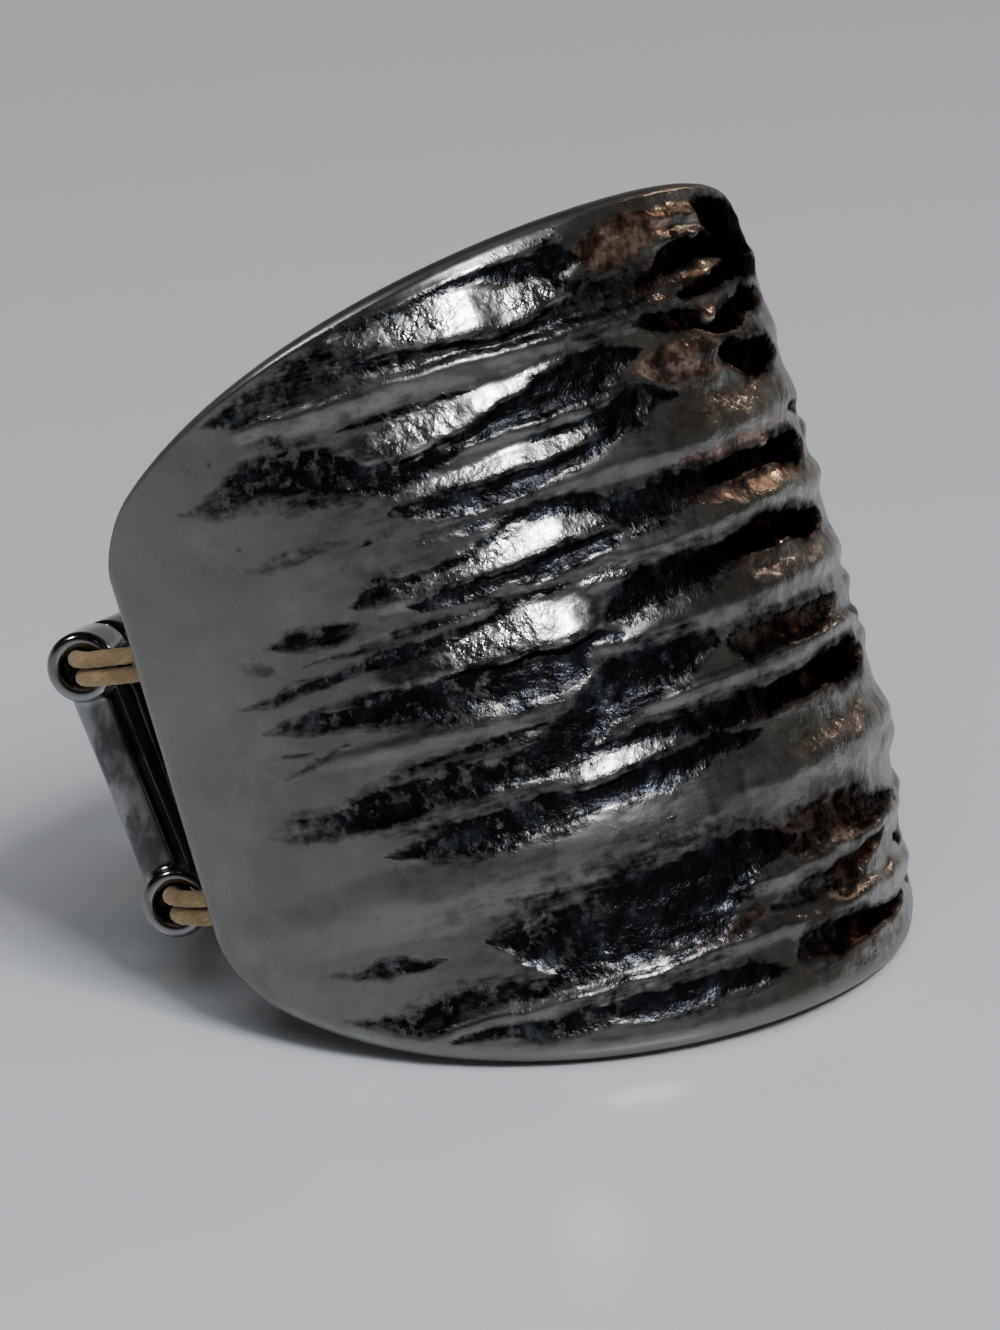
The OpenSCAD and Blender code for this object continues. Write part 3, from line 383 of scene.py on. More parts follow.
# ---------------------------------------------------------------- camera
centre = Vector(place([0, 0, 0]))
cam_phi, cam_e, cam_roll, cam_dist, cam_fd = 45.065, 18.92, -2.14, 160.0, 37.937
cam_ox, cam_oy = -61.25, -5.53
e, p = rad(cam_e), rad(-cam_phi)
back = Vector((math.cos(e) * math.cos(p), math.cos(e) * math.sin(p), math.sin(e)))
right = (-back).cross(Vector((0, 0, 1))).normalized()
up = right.cross(-back)
a = rad(-cam_roll)
cam_up = up * math.cos(a) + right * math.sin(a)
cam_right = (-back).cross(cam_up).normalized()
cam_data = bpy.data.cameras.new("camera")
cam = bpy.data.objects.new("camera", cam_data)
bpy.context.scene.collection.objects.link(cam)
bpy.context.scene.camera = cam
f_px = cam_dist * cam_fd
cam_data.sensor_fit = "AUTO"
cam_data.sensor_width = 36.0
cam_data.lens = f_px * 36.0 / 1330
cam_data.clip_start, cam_data.clip_end = 0.005, 10
# aim so that the ring's centre falls at its pixel
img_x, img_y = 500 + cam_ox - 500, 665 - 0 + cam_oy - 665
rot = Matrix((cam_right, cam_up, back)).transposed()
aim = rot @ Vector((img_x, -img_y, -f_px)).normalized()
turn = aim.rotation_difference(-back).to_matrix()
rot = turn @ rot
cam.location = centre + back * cam_dist * MM
cam.rotation_mode = "QUATERNION"
cam.rotation_quaternion = rot.to_quaternion()

# ---------------------------------------------------------------- mesh helpers
def add_mesh(name, v, faces, smooth=True):
    me = bpy.data.meshes.new(name)
    me.from_pydata(np.asarray(v, float).tolist(), [], np.asarray(faces).tolist())
    if smooth:
        me.polygons.foreach_set("use_smooth", np.ones(len(me.polygons), bool))
    me.update()
    ob = bpy.data.objects.new(name, me)
    bpy.context.scene.collection.objects.link(ob)
    return ob

def attribute(ob, name, values):
    at = ob.data.attributes.new(name, "FLOAT", "POINT")
    at.data.foreach_set("value", np.asarray(values, np.float32).ravel())

# ---------------------------------------------------------------- shield
n_out, n_rim, n_in = 264, 7, 14
end_s = np.array([0.0, 0.01, 0.03, 0.06, 0.10, 0.15, 0.21, 0.28, 0.36, 0.44, 0.52, 0.60, 0.68, 0.76])
end_a = end_angle - np.degrees(end_s / ring_r)
st = np.concatenate([-end_a, np.linspace(-end_a[-1] + 0.5, end_a[-1] - 0.5, 300), end_a[::-1]])
n_a = len(st)
loop_n = n_out + n_in + 2 * n_rim
pts = np.zeros((n_a, loop_n, 3))
cover = np.zeros((n_a, loop_n, 4))
w, t = half_w(st), thick(st)
# how far the rounding of the upper and of the lower rim reaches
q, q_low = 0.20 * t, 0.38 * t
zf, zl = w - q, w - q_low
f = np.linspace(0, 1, n_out)
Z = -zl[:, None] + (zf + zl)[:, None] * f[None, :]
AA = np.repeat(st[:, None], n_out, 1)
R, mott, foil, ridge, cupr = outer_r(AA, Z)
ri = in_r + (wall - t) / 2
def put(j, r, z):
    pts[:, j] = np.stack([r * np.cos(np.radians(st)), -r * np.sin(np.radians(st)), z], -1)
for j in range(n_out):
    put(j, R[:, j], Z[:, j])
for j, layer in enumerate((mott, foil, ridge, cupr)):
    cover[:, :n_out, j] = layer
for i in range(1, n_rim + 1):
    b = math.pi * i / (n_rim + 1)
    ro = R[:, n_out - 1]
    put(n_out + i - 1, (ro + ri) / 2 + (ro - ri) / 2 * math.cos(b) - chamfer(st) * q * math.sin(b) * max(0, math.cos(b)) ** 2,
        zf + q * math.sin(b))
in_z = zf[:, None] - (zf + zl)[:, None] * np.linspace(0, 1, n_in)[None, :]
for j in range(n_in):
    cast = 0.02 * noise(arc_mm(st) * np.sign(st) / 1.6 + 40, in_z[:, j] / 1.4, 71)
    edge = np.clip((w - np.abs(in_z[:, j])) / 1.2, 0, 1) * np.clip((78 - np.abs(st)) / 6, 0, 1)
    put(n_out + n_rim + j, ri + cast * edge, in_z[:, j])
for i in range(1, n_rim + 1):
    b = math.pi * i / (n_rim + 1)
    ro = R[:, 0]
    put(n_out + n_rim + n_in + i - 1, (ro + ri) / 2 - (ro - ri) / 2 * math.cos(b), -zl - q_low * math.sin(b))
idx = np.arange(n_a * loop_n).reshape(n_a, loop_n)
nx = np.roll(idx, -1, 1)
quads = np.stack([idx[:-1], idx[1:], nx[1:], nx[:-1]], -1).reshape(-1, 4)
shield = add_mesh("shield_plate", place(pts.reshape(-1, 3)), quads)
# close both ends
me = shield.data
import bmesh
bm = bmesh.new()
bm.from_mesh(me)
bm.verts.ensure_lookup_table()
bm.edges.ensure_lookup_table()
open_edges = [ed for ed in bm.edges if ed.is_boundary]
bmesh.ops.holes_fill(bm, edges=open_edges, sides=0)
bmesh.ops.recalc_face_normals(bm, faces=bm.faces)
for fc in bm.faces:
    fc.smooth = True
bm.to_mesh(me)
bm.free()
attribute(shield, "dark", cover[..., 0])
attribute(shield, "foil", cover[..., 1])
attribute(shield, "crest", cover[..., 2])
attribute(shield, "copper", cover[..., 3])
ang = np.repeat(st[:, None], loop_n, 1)
attribute(shield, "angle", ang / 90)
flats = np.zeros((n_a, loop_n))
flats[:, :n_out] = flat_spots(AA, Z)
attribute(shield, "flat", flats)
local_z = pts[..., 2]
attribute(shield, "height", local_z / 11)
face_out = np.zeros((n_a, loop_n)); face_out[:, :n_out] = 1
attribute(shield, "outside", face_out)

# ---------------------------------------------------------------- lathe, for eyelets
def lathe_ring(l, n=56, inner_r=None, outer_r_=None, steps=8):
    """An eyelet round x with half round mouths."""
    ir, orr = inner_r or hole_d / 2, outer_r_ or tube_r
    c, rr = (ir + orr) / 2, (orr - ir) / 2
    prof = []
    for i in range(steps + 1):
        b = math.pi * i / steps
        prof.append((l / 2 - rr + rr * math.sin(b), c + rr * math.cos(b)))
    for i in range(steps + 1):
        b = math.pi * i / steps
        prof.append((-l / 2 + rr - rr * math.sin(b), c - rr * math.cos(b)))
    prof = np.array(prof)
    th = np.arange(n) * 2 * math.pi / n
    v = np.stack([np.repeat(prof[None, :, 0], n, 0),
                  np.cos(th)[:, None] * prof[None, :, 1],
                  np.sin(th)[:, None] * prof[None, :, 1]], -1)
    m = len(prof)
    i = np.arange(n * m).reshape(n, m)
    i2, ij, i2j = np.roll(i, -1, 0), np.roll(i, -1, 1), np.roll(np.roll(i, -1, 0), -1, 1)
    return v.reshape(-1, 3), np.stack([i, ij, i2j, i2], -1).reshape(-1, 4)

def bar(x, y0, y1, z, c, seg=6):
    """A bar along z with rounded long edges, closed."""
    out = []
    for cx, cy, b0 in ((x - c, y1 - c, 0), (-x + c, y1 - c, 90), (-x + c, y0 + c, 180), (x - c, y0 + c, 270)):
        for i in range(seg + 1):
            b = rad(b0 + 90 * i / seg)
            out.append((cx + c * math.cos(b), cy + c * math.sin(b)))
    out = np.array(out)
    zs = np.linspace(-z, z, 24)
    v = np.concatenate([np.c_[out, np.full(len(out), zz)] for zz in zs])
    m = len(out)
    i = np.arange(len(zs) * m).reshape(len(zs), m)
    f4 = np.stack([i[:-1], np.roll(i, -1, 1)[:-1], np.roll(i, -1, 1)[1:], i[1:]], -1).reshape(-1, 4)
    return v, f4, [list(i[0][::-1]), list(i[-1])]

def shape_mesh(name, parts, voxel, smooth_steps):
    """Joins closed shapes into one skin, with small fillets between them."""
    bm = bmesh.new()
    for v, f4, caps in parts:
        vs = [bm.verts.new(p) for p in v]
        for fc in f4:
            bm.faces.new([vs[i] for i in fc])
        for cp in caps:
            bm.faces.new([vs[i] for i in cp])
    bmesh.ops.recalc_face_normals(bm, faces=bm.faces)
    me = bpy.data.meshes.new(name)
    bm.to_mesh(me)
    bm.free()
    ob = bpy.data.objects.new(name, me)
    bpy.context.scene.collection.objects.link(ob)
    md = ob.modifiers.new("remesh", "REMESH")
    md.mode = "VOXEL"
    md.voxel_size = voxel
    md.use_smooth_shade = True
    sm = ob.modifiers.new("smooth", "SMOOTH")
    sm.factor, sm.iterations = 0.5, smooth_steps
    dg = bpy.context.evaluated_depsgraph_get()
    new = bpy.data.meshes.new_from_object(ob.evaluated_get(dg))
    bpy.data.objects.remove(ob)
    bpy.data.meshes.remove(me)
    new.name = name
    return new

def link_shape():
    parts = []
    for s in (-1, 1):
        v, f4 = lathe_ring(link_l + 0.02, inner_r=hole_d / 2 - 0.035, outer_r_=tube_r + 0.012)
        v = v + [0, 0, s * row_z]
        parts.append((v, f4, []))
    v, f4, caps = bar(link_l / 2 - 0.2, 0.04 - web_t / 2, 0.04 + web_t / 2, row_z - hole_d / 2 - 0.12, 0.5)
    # the web is waisted a little
    k = 1 - (v[:, 2] / row_z) ** 2
    v[:, 1] = 0.04 + (v[:, 1] - 0.04) * (1 - 0.07 * k)
    v[:, 0] *= 1 - 0.04 * k
    parts.append((v, f4, caps))
    return parts

link_me = shape_mesh("link_shape", link_shape(), 0.062, 5)
lv = np.zeros(len(link_me.vertices) * 3)
link_me.vertices.foreach_get("co", lv)
lv = lv.reshape(-1, 3)

def finish_parts(ob, v, length):
    """Marks the inside of the bores and the web, for the finish."""
    axis = np.hypot(v[:, 1], np.abs(v[:, 2]) - row_z)
    inside = step(hole_d / 2 + 0.10, hole_d / 2 + 0.03, axis) * step(length / 2 - 0.06, length / 2 - 0.16, np.abs(v[:, 0]))
    attribute(ob, "bore", inside)
    attribute(ob, "web", step(row_z - 0.75, row_z - 1.1, np.abs(v[:, 2])))

links = []
for k in range(n_links):
    me = link_me.copy()
    h, r = rad(heading(k)), rad(HANG[k][0])
    v = lv.copy()
    # small cast differences from link to link
    v[:, 1] += 0.012 * noise(v[:, 2] / 1.3 + 9 * k, v[:, 0] / 1.2, 81)
    lean_r = np.array([[1, 0, 0], [0, math.cos(r), -math.sin(r)], [0, math.sin(r), math.cos(r)]])
    turn_r = np.array([[math.cos(-h), -math.sin(-h), 0], [math.sin(-h), math.cos(-h), 0], [0, 0, 1]])
    c = mid(k)
    w_ = v @ lean_r.T @ turn_r.T + [c[0], -c[1], HANG[k][1] - sag]
    me.vertices.foreach_set("co", place(w_).ravel())
    me.update()
    ob = bpy.data.objects.new("link_%d_cast" % (k + 1), me)
    bpy.context.scene.collection.objects.link(ob)
    attribute(ob, "along", v[:, 2] / row_z)
    finish_parts(ob, lv, link_l)
    links.append(ob)

# ---------------------------------------------------------------- the shield's lugs
def lug_shape(side):
    parts = []
    for s in (-1, 1):
        v, f4 = lathe_ring(lug_l)
        parts.append((v + [0, 0, s * row_z], f4, []))
    v, f4, caps = bar(lug_l / 2 - 0.1, -0.2, 1.05, row_z - hole_d / 2 - 0.12, 0.25)
    parts.append((v, f4, caps))
    for s in (-1, 1):
        x0 = -side * 0.1
        v, f4, caps = bar(lug_l / 2 - 0.16, 0.72, 1.2, 0.9, 0.2)
        parts.append((v + [x0, 0, s * row_z], f4, caps))
    return parts

lugs = []
for side in (1, -1):
    me = shape_mesh("lug", lug_shape(side), 0.07, 4)
    v = np.zeros(len(me.vertices) * 3)
    me.vertices.foreach_get("co", v)
    v = v.reshape(-1, 3)
    h = rad(lug_heading(side))
    turn_r = np.array([[math.cos(-h), -math.sin(-h), 0], [math.sin(-h), math.cos(-h), 0], [0, 0, 1]])
    c = lug_mid(side)
    me.vertices.foreach_set("co", place(v @ turn_r.T + [c[0], -c[1], -lug_drop]).ravel())
    me.update()
    ob = bpy.data.objects.new("lug_near" if side > 0 else "lug_far", me)
    bpy.context.scene.collection.objects.link(ob)
    attribute(ob, "along", v[:, 2] / row_z)
    finish_parts(ob, v, lug_l)
    lugs.append(ob)

# ---------------------------------------------------------------- elastic cords
def bezier(p0, p1, p2, p3, t):
    return p0 * (1 - t) ** 3 + p1 * 3 * t * (1 - t) ** 2 + p2 * 3 * t * t * (1 - t) + p3 * t ** 3

def free_run(side, z):
    k = 0 if side > 0 else n_links - 1
    s = -link_l / 2 if side > 0 else link_l / 2
    h, hk = rad(lug_heading(side)), rad(heading(k))
    p0, p3 = in_lug(side, side * lug_l / 2, 0, z), in_link(k, s, z)
    p1 = p0 + side * 0.8 * np.array([math.cos(h), -math.sin(h), 0])
    p2 = p3 - side * 0.9 * np.array([math.cos(hk), -math.sin(hk), 0])
    return [bezier(p0, p1, p2, p3, t) for t in (0.2, 0.4, 0.6, 0.8)]

def pass_run(z):
    out = [in_lug(1, -lug_l / 2 - 0.05, -0.1, z), in_lug(1, lug_l / 2, 0, z)] + free_run(1, z)
    for k in range(n_links):
        out += [in_link(k, -link_l / 2, z), in_link(k, link_l / 2, z)]
    return out + free_run(-1, z)[::-1] + [in_lug(-1, -lug_l / 2, 0, z), in_lug(-1, lug_l / 2 + 0.05, -0.1, z)]

def turn_run(side, z, e_):
    sg, out = np.sign(z), []
    for b in (35, 65, 90):
        out.append(in_lug(side, -side * (lug_l / 2 + 0.1 + e_ * math.sin(rad(b))), -0.1 - 0.3 * math.sin(rad(b)),
                          sg * (abs(z) - e_ * (1 - math.cos(rad(b))))))
    for f_ in (0.5, 0, -0.5):
        out.append(in_lug(side, -side * (lug_l / 2 + 0.1 + e_), -0.42, f_ * z))
    for b in (90, 65, 35):
        out.append(in_lug(side, -side * (lug_l / 2 + 0.1 + e_ * math.sin(rad(b))), -0.1 - 0.3 * math.sin(rad(b)),
                          -sg * (abs(z) - e_ * (1 - math.cos(rad(b))))))
    return out

def cord_route(z, e_):
    return np.array(pass_run(z) + turn_run(-1, z, e_) + pass_run(-z)[::-1] + turn_run(1, -z, e_))

def resample_closed(p, spacing):
    """Smooth closed curve through the points, evenly spaced."""
    n = len(p)
    out = []
    for i in range(n):
        a_, b_, c_, d_ = p[i - 1], p[i], p[(i + 1) % n], p[(i + 2) % n]
        m = max(2, int(np.linalg.norm(c_ - b_) / 0.06))
        l = np.linalg.norm(c_ - b_)
        t1 = (c_ - a_) / np.linalg.norm(c_ - a_) * l
        t2 = (d_ - b_) / np.linalg.norm(d_ - b_) * l
        for j in range(m):
            t = j / m
            out.append((2 * t ** 3 - 3 * t * t + 1) * b_ + (t ** 3 - 2 * t * t + t) * t1
                       + (-2 * t ** 3 + 3 * t * t) * c_ + (t ** 3 - t * t) * t2)
    out = np.array(out)
    seg = np.linalg.norm(np.roll(out, -1, 0) - out, axis=1)
    cum = np.r_[0, np.cumsum(seg)]
    count = int(cum[-1] / spacing)
    s = np.arange(count) * cum[-1] / count
    closed = np.vstack([out, out[:1]])
    return np.stack([np.interp(s, cum, closed[:, i]) for i in range(3)], -1), cum[-1]

def cord_piece(name, z, e_, seed):
    path, length = resample_closed(cord_route(z, e_), 0.07)
    n, sides = len(path), 22
    tan = np.roll(path, -1, 0) - np.roll(path, 1, 0)
    tan /= np.linalg.norm(tan, axis=1)[:, None]
    o = path.copy(); o[:, 2] = 0
    o /= np.linalg.norm(o, axis=1)[:, None]
    aa = o - tan * (o * tan).sum(1)[:, None]
    aa /= np.linalg.norm(aa, axis=1)[:, None]
    bb = np.cross(tan, aa)
    th = np.arange(sides) * 2 * math.pi / sides
    S, T = np.meshgrid(np.arange(n) * length / n, th, indexing="ij")
    turns = round(length / 2.6)
    twist = 2 * math.pi * turns * S / length
    fibre = 0.010 * np.cos(7 * (T + twist)) + 0.006 * noise(S / 0.18, T * 6 / math.pi + 3, seed)
    bunch = 0.008 * noise(S / 0.9, T * 0 + seed, seed + 1)
    rr = cord_d / 2 - 0.012 + fibre + bunch
    v = path[:, None] + rr[..., None] * (aa[:, None] * np.cos(T)[..., None] + bb[:, None] * np.sin(T)[..., None])
    i = np.arange(n * sides).reshape(n, sides)
    faces = np.stack([i, np.roll(i, -1, 0), np.roll(np.roll(i, -1, 0), -1, 1), np.roll(i, -1, 1)], -1).reshape(-1, 4)
    ob = add_mesh(name, place(v.reshape(-1, 3)), faces)
    attribute(ob, "strand", np.cos(7 * (T + twist)) * 0.5 + 0.5)
    attribute(ob, "along", S / 2.0)
    return ob, length

cord_out, len_out = cord_piece("cord_outer_elastic", row_z + cord_off, 0.95, 91)
cord_in, len_in = cord_piece("cord_inner_elastic", row_z - cord_off, 0.36, 95)

# ---------------------------------------------------------------- materials
def node(nt, kind, **kw):
    n = nt.nodes.new(kind)
    for k_, v_ in kw.items():
        setattr(n, k_, v_)
    return n

def ramp(nt, fac, stops):
    r = node(nt, "ShaderNodeValToRGB")
    els = r.color_ramp.elements
    while len(els) < len(stops):
        els.new(0.5)
    for el, (pos, col) in zip(els, stops):
        el.position = pos
        el.color = (*col, 1) if len(col) == 3 else col
    nt.links.new(fac, r.inputs[0])
    return r.outputs[0]

def attr(nt, name):
    return node(nt, "ShaderNodeAttribute", attribute_name=name).outputs["Fac"]

def math_n(nt, op, a_, b_=None, clamp=False, c_=None):
    m = node(nt, "ShaderNodeMath", operation=op)
    m.use_clamp = clamp
    for i, x in enumerate((a_, b_, c_)):
        if x is None:
            continue
        if isinstance(x, (int, float)):
            m.inputs[i].default_value = x
        else:
            nt.links.new(x, m.inputs[i])
    return m.outputs[0]

def mix_c(nt, fac, a_, b_, blend="MIX"):
    m = node(nt, "ShaderNodeMix", data_type="RGBA", blend_type=blend)
    if isinstance(fac, (int, float)):
        m.inputs[0].default_value = fac
    else:
        nt.links.new(fac, m.inputs[0])
    for i, x in ((6, a_), (7, b_)):
        if isinstance(x, tuple):
            m.inputs[i].default_value = (*x, 1)
        else:
            nt.links.new(x, m.inputs[i])
    return m.outputs[2]

def noise_n(nt, vec, scale, detail=4, rough=0.55):
    n = node(nt, "ShaderNodeTexNoise")
    n.inputs["Scale"].default_value = scale
    n.inputs["Detail"].default_value = detail
    n.inputs["Roughness"].default_value = rough
    nt.links.new(vec, n.inputs["Vector"])
    return n.outputs["Fac"]

def object_coords(nt, scale=(1, 1, 1)):
    tc = node(nt, "ShaderNodeTexCoord")
    mp = node(nt, "ShaderNodeMapping")
    mp.inputs["Scale"].default_value = scale
    nt.links.new(tc.outputs["Object"], mp.inputs["Vector"])
    return mp.outputs[0]

def bump(nt, height, distance, strength, normal=None):
    b = node(nt, "ShaderNodeBump")
    b.inputs["Strength"].default_value = strength
    b.inputs["Distance"].default_value = distance
    nt.links.new(height, b.inputs["Height"])
    if normal is not None:
        nt.links.new(normal, b.inputs["Normal"])
    return b.outputs[0]

def new_material(name):
    m = bpy.data.materials.new(name)
    m.use_nodes = True
    nt = m.node_tree
    nt.nodes.clear()
    out = node(nt, "ShaderNodeOutputMaterial")
    b = node(nt, "ShaderNodeBsdfPrincipled")
    nt.links.new(b.outputs[0], out.inputs[0])
    return m, nt, b

def metal_shield():
    m, nt, b = new_material("gunmetal_cast")
    b.inputs["Metallic"].default_value = 1.0
    co = object_coords(nt)
    dark, foil_, crest, copper = attr(nt, "dark"), attr(nt, "foil"), attr(nt, "crest"), attr(nt, "copper")
    angle, outside = attr(nt, "angle"), attr(nt, "outside")
    blotch = noise_n(nt, co, 420, 4, 0.6)
    broad = noise_n(nt, co, 150, 3, 0.5)
    speck = noise_n(nt, co, 3200, 3, 0.6)
    # noise drawn out round the ring, on its unrolled face
    flat = node(nt, "ShaderNodeCombineXYZ")
    nt.links.new(math_n(nt, "MULTIPLY", angle, 17.1 / 1.1), flat.inputs["X"])
    nt.links.new(math_n(nt, "MULTIPLY", attr(nt, "height"), 11 / 0.26), flat.inputs["Y"])
    streak = noise_n(nt, flat.outputs[0], 1.0, 5, 0.62)
    grain = math_n(nt, "ADD", math_n(nt, "MULTIPLY", math_n(nt, "SUBTRACT", streak, 0.5), 1.5),
                   math_n(nt, "MULTIPLY", math_n(nt, "SUBTRACT", speck, 0.5), 1.2))
    band = math_n(nt, "MULTIPLY", math_n(nt, "MULTIPLY", dark, math_n(nt, "SUBTRACT", 1.0, dark)), 4.0, True)
    side_n = node(nt, "ShaderNodeMapRange")
    side_n.inputs["From Min"].default_value = 0.10
    side_n.inputs["From Max"].default_value = -0.10
    nt.links.new(angle, side_n.inputs["Value"])
    reach = math_n(nt, "MULTIPLY_ADD", dark, 0.30, c_=band)
    reach = math_n(nt, "MULTIPLY", reach, math_n(nt, "MULTIPLY_ADD", side_n.outputs[0], -0.5, c_=1.0))
    dark = math_n(nt, "MULTIPLY_ADD", grain, reach, c_=dark)
    dark = ramp(nt, dark, [(0.10, (0, 0, 0)), (0.50, (0.50, 0.50, 0.50)), (0.92, (1, 1, 1))])
    end_zone = node(nt, "ShaderNodeMapRange", interpolation_type="SMOOTHSTEP")
    end_zone.inputs["From Min"].default_value = 0.26
    end_zone.inputs["From Max"].default_value = 0.46
    nt.links.new(angle, end_zone.inputs["Value"])
    flecks = ramp(nt, noise_n(nt, co, 2300, 4, 0.68), [(0.53, (0, 0, 0)), (0.64, (1, 1, 1))])
    flecks = math_n(nt, "MULTIPLY", math_n(nt, "MULTIPLY", flecks, end_zone.outputs[0]), 0.62, True)
    dark = math_n(nt, "MULTIPLY", dark, math_n(nt, "SUBTRACT", 1.0, flecks))
    base = ramp(nt, blotch, [(0.30, (0.176, 0.175, 0.169)), (0.52, (0.203, 0.202, 0.195)), (0.72, (0.222, 0.220, 0.212))])
    # darker streaky mottling over the grey of the ridged middle: partly cast texture, partly painted darker reflection
    # of that part
    zone = node(nt, "ShaderNodeMapRange", interpolation_type="SMOOTHSTEP")
    zone.inputs["From Min"].default_value = 0.70
    zone.inputs["From Max"].default_value = 0.46
    nt.links.new(angle, zone.inputs["Value"])
    mottled_shade = math_n(nt, "MULTIPLY_ADD", streak, 0.6, c_=math_n(nt, "MULTIPLY", noise_n(nt, co, 2100, 3, 0.6), 0.4))
    mottled_shade = ramp(nt, mottled_shade, [(0.46, (0, 0, 0)), (0.60, (1, 1, 1))])
    mottled_shade = math_n(nt, "MULTIPLY", math_n(nt, "MULTIPLY", mottled_shade, outside), zone.outputs[0])
    mottled_shade = math_n(nt, "MULTIPLY", mottled_shade,
                    math_n(nt, "SUBTRACT", 1.0, foil_), True)
    base = mix_c(nt, math_n(nt, "MULTIPLY", mottled_shade, 0.78, True), base, (0.056, 0.055, 0.056))
    stains = ramp(nt, noise_n(nt, co, 330, 5, 0.68), [(0.50, (0, 0, 0)), (0.62, (1, 1, 1))])
    base = mix_c(nt, math_n(nt, "MULTIPLY", stains, 0.45, True), base, (0.165, 0.155, 0.134))
    base = mix_c(nt, math_n(nt, "MULTIPLY", ramp(nt, noise_n(nt, co, 240, 4, 0.6), [(0.48, (0, 0, 0)), (0.66, (1, 1, 1))]), 0.45, True),
                 base, (0.128, 0.130, 0.130))
    pale = ramp(nt, noise_n(nt, co, 520, 5, 0.66), [(0.54, (0, 0, 0)), (0.68, (1, 1, 1))])
    base = mix_c(nt, math_n(nt, "MULTIPLY", pale, 0.30, True), base, (0.290, 0.290, 0.272))
    dots = ramp(nt, noise_n(nt, co, 1500, 2, 0.5), [(0.73, (0, 0, 0)), (0.76, (1, 1, 1))])
    base = mix_c(nt, math_n(nt, "MULTIPLY", dots, 0.5, True), base, (0.045, 0.045, 0.047))
    # a faint warm cast and slight darkening round the apex and past it, patchy: painted warm reflection of the room on
    # that side
    patchy = ramp(nt, broad, [(0.44, (0, 0, 0)), (0.60, (1, 1, 1))])
    warm_reflection_mask = math_n(nt, "MULTIPLY", math_n(nt, "MULTIPLY", side_n.outputs[0], patchy, True), outside, True)
    base = mix_c(nt, math_n(nt, "MULTIPLY", side_n.outputs[0], 0.30, True), base, (0.165, 0.156, 0.146))
    base = mix_c(nt, math_n(nt, "MULTIPLY", warm_reflection_mask, 0.28, True), base, (0.165, 0.120, 0.096))
    scuffs = ramp(nt, math_n(nt, "MULTIPLY_ADD", streak, 0.45, c_=math_n(nt, "MULTIPLY", noise_n(nt, co, 1500, 4, 0.66), 0.55)),
                  [(0.49, (0, 0, 0)), (0.56, (1, 1, 1))])
    scuffs = math_n(nt, "MULTIPLY", math_n(nt, "MULTIPLY", scuffs, side_n.outputs[0]), outside, True)
    base = mix_c(nt, math_n(nt, "MULTIPLY", scuffs, 0.65, True), base, (0.330, 0.342, 0.322))
    # copper-brown patches, mottled
    clots = math_n(nt, "MULTIPLY_ADD", math_n(nt, "SUBTRACT", noise_n(nt, co, 1250, 3, 0.6), 0.5), 1.5, c_=0.5)
    cu = ramp(nt, math_n(nt, "MULTIPLY_ADD", grain, 0.35, c_=clots), [
        (0.32, (0.016, 0.010, 0.009)), (0.46, (0.110, 0.062, 0.048)), (0.58, (0.255, 0.165, 0.128)), (0.72, (0.480, 0.360, 0.290))])
    band = math_n(nt, "MULTIPLY", math_n(nt, "MULTIPLY", copper, math_n(nt, "SUBTRACT", 1.0, copper)), 4.0, True)
    copper = math_n(nt, "MULTIPLY_ADD", grain, math_n(nt, "MULTIPLY_ADD", copper, 0.8, c_=band), c_=copper)
    copper = ramp(nt, copper, [(0.20, (0, 0, 0)), (0.85, (1, 1, 1))])
    base = mix_c(nt, math_n(nt, "MULTIPLY", copper, 0.90, True), base, cu)
    # dark bands, near black with lighter specks: patina in the recesses, and in part painted dark reflection of the
    # room
    smudge = noise_n(nt, co, 1300, 3, 0.6)
    deep = ramp(nt, smudge, [(0.46, (0.004, 0.004, 0.005)), (0.59, (0.012, 0.013, 0.017)), (0.74, (0.058, 0.066, 0.082))])
    # past the apex the dark recesses turn brown-black: painted warm reflection of the room
    umber_reflection = ramp(nt, smudge, [(0.42, (0.006, 0.0035, 0.003)), (0.56, (0.022, 0.011, 0.008)), (0.72, (0.075, 0.044, 0.034))])
    deep = mix_c(nt, math_n(nt, "MULTIPLY", side_n.outputs[0], 0.85, True), deep, umber_reflection)
    base = mix_c(nt, math_n(nt, "MULTIPLY", dark, 0.985, True), base, deep)
    nt.links.new(base, b.inputs["Base Color"])
    nt.links.new(mix_c(nt, dark, (1.0, 1.0, 1.0), (0.06, 0.06, 0.07)), b.inputs["Specular Tint"])
    rough = math_n(nt, "MULTIPLY_ADD", blotch, 0.14, c_=0.20)
    rough = math_n(nt, "ADD", rough, math_n(nt, "MULTIPLY", dark, 0.08))
    rough = math_n(nt, "ADD", rough, math_n(nt, "MULTIPLY", copper, 0.04))
    rough = math_n(nt, "ADD", rough, math_n(nt, "MULTIPLY", math_n(nt, "SUBTRACT", 1.0, outside), 0.14))
    hazy = ramp(nt, noise_n(nt, co, 2300, 3, 0.6), [(0.44, (0, 0, 0)), (0.60, (1, 1, 1))])
    rough = math_n(nt, "MULTIPLY_ADD", math_n(nt, "MULTIPLY_ADD", hazy, 0.24, c_=-0.04), foil_, c_=rough)
    flat_ = attr(nt, "flat")
    rough = math_n(nt, "SUBTRACT", rough, math_n(nt, "MULTIPLY", flat_, 0.06))
    rough = math_n(nt, "SUBTRACT", rough, math_n(nt, "MULTIPLY", crest, 0.03), True)
    nt.links.new(rough, b.inputs["Roughness"])
    n1 = bump(nt, noise_n(nt, co, 900, 4, 0.6), 0.00002, 0.22)
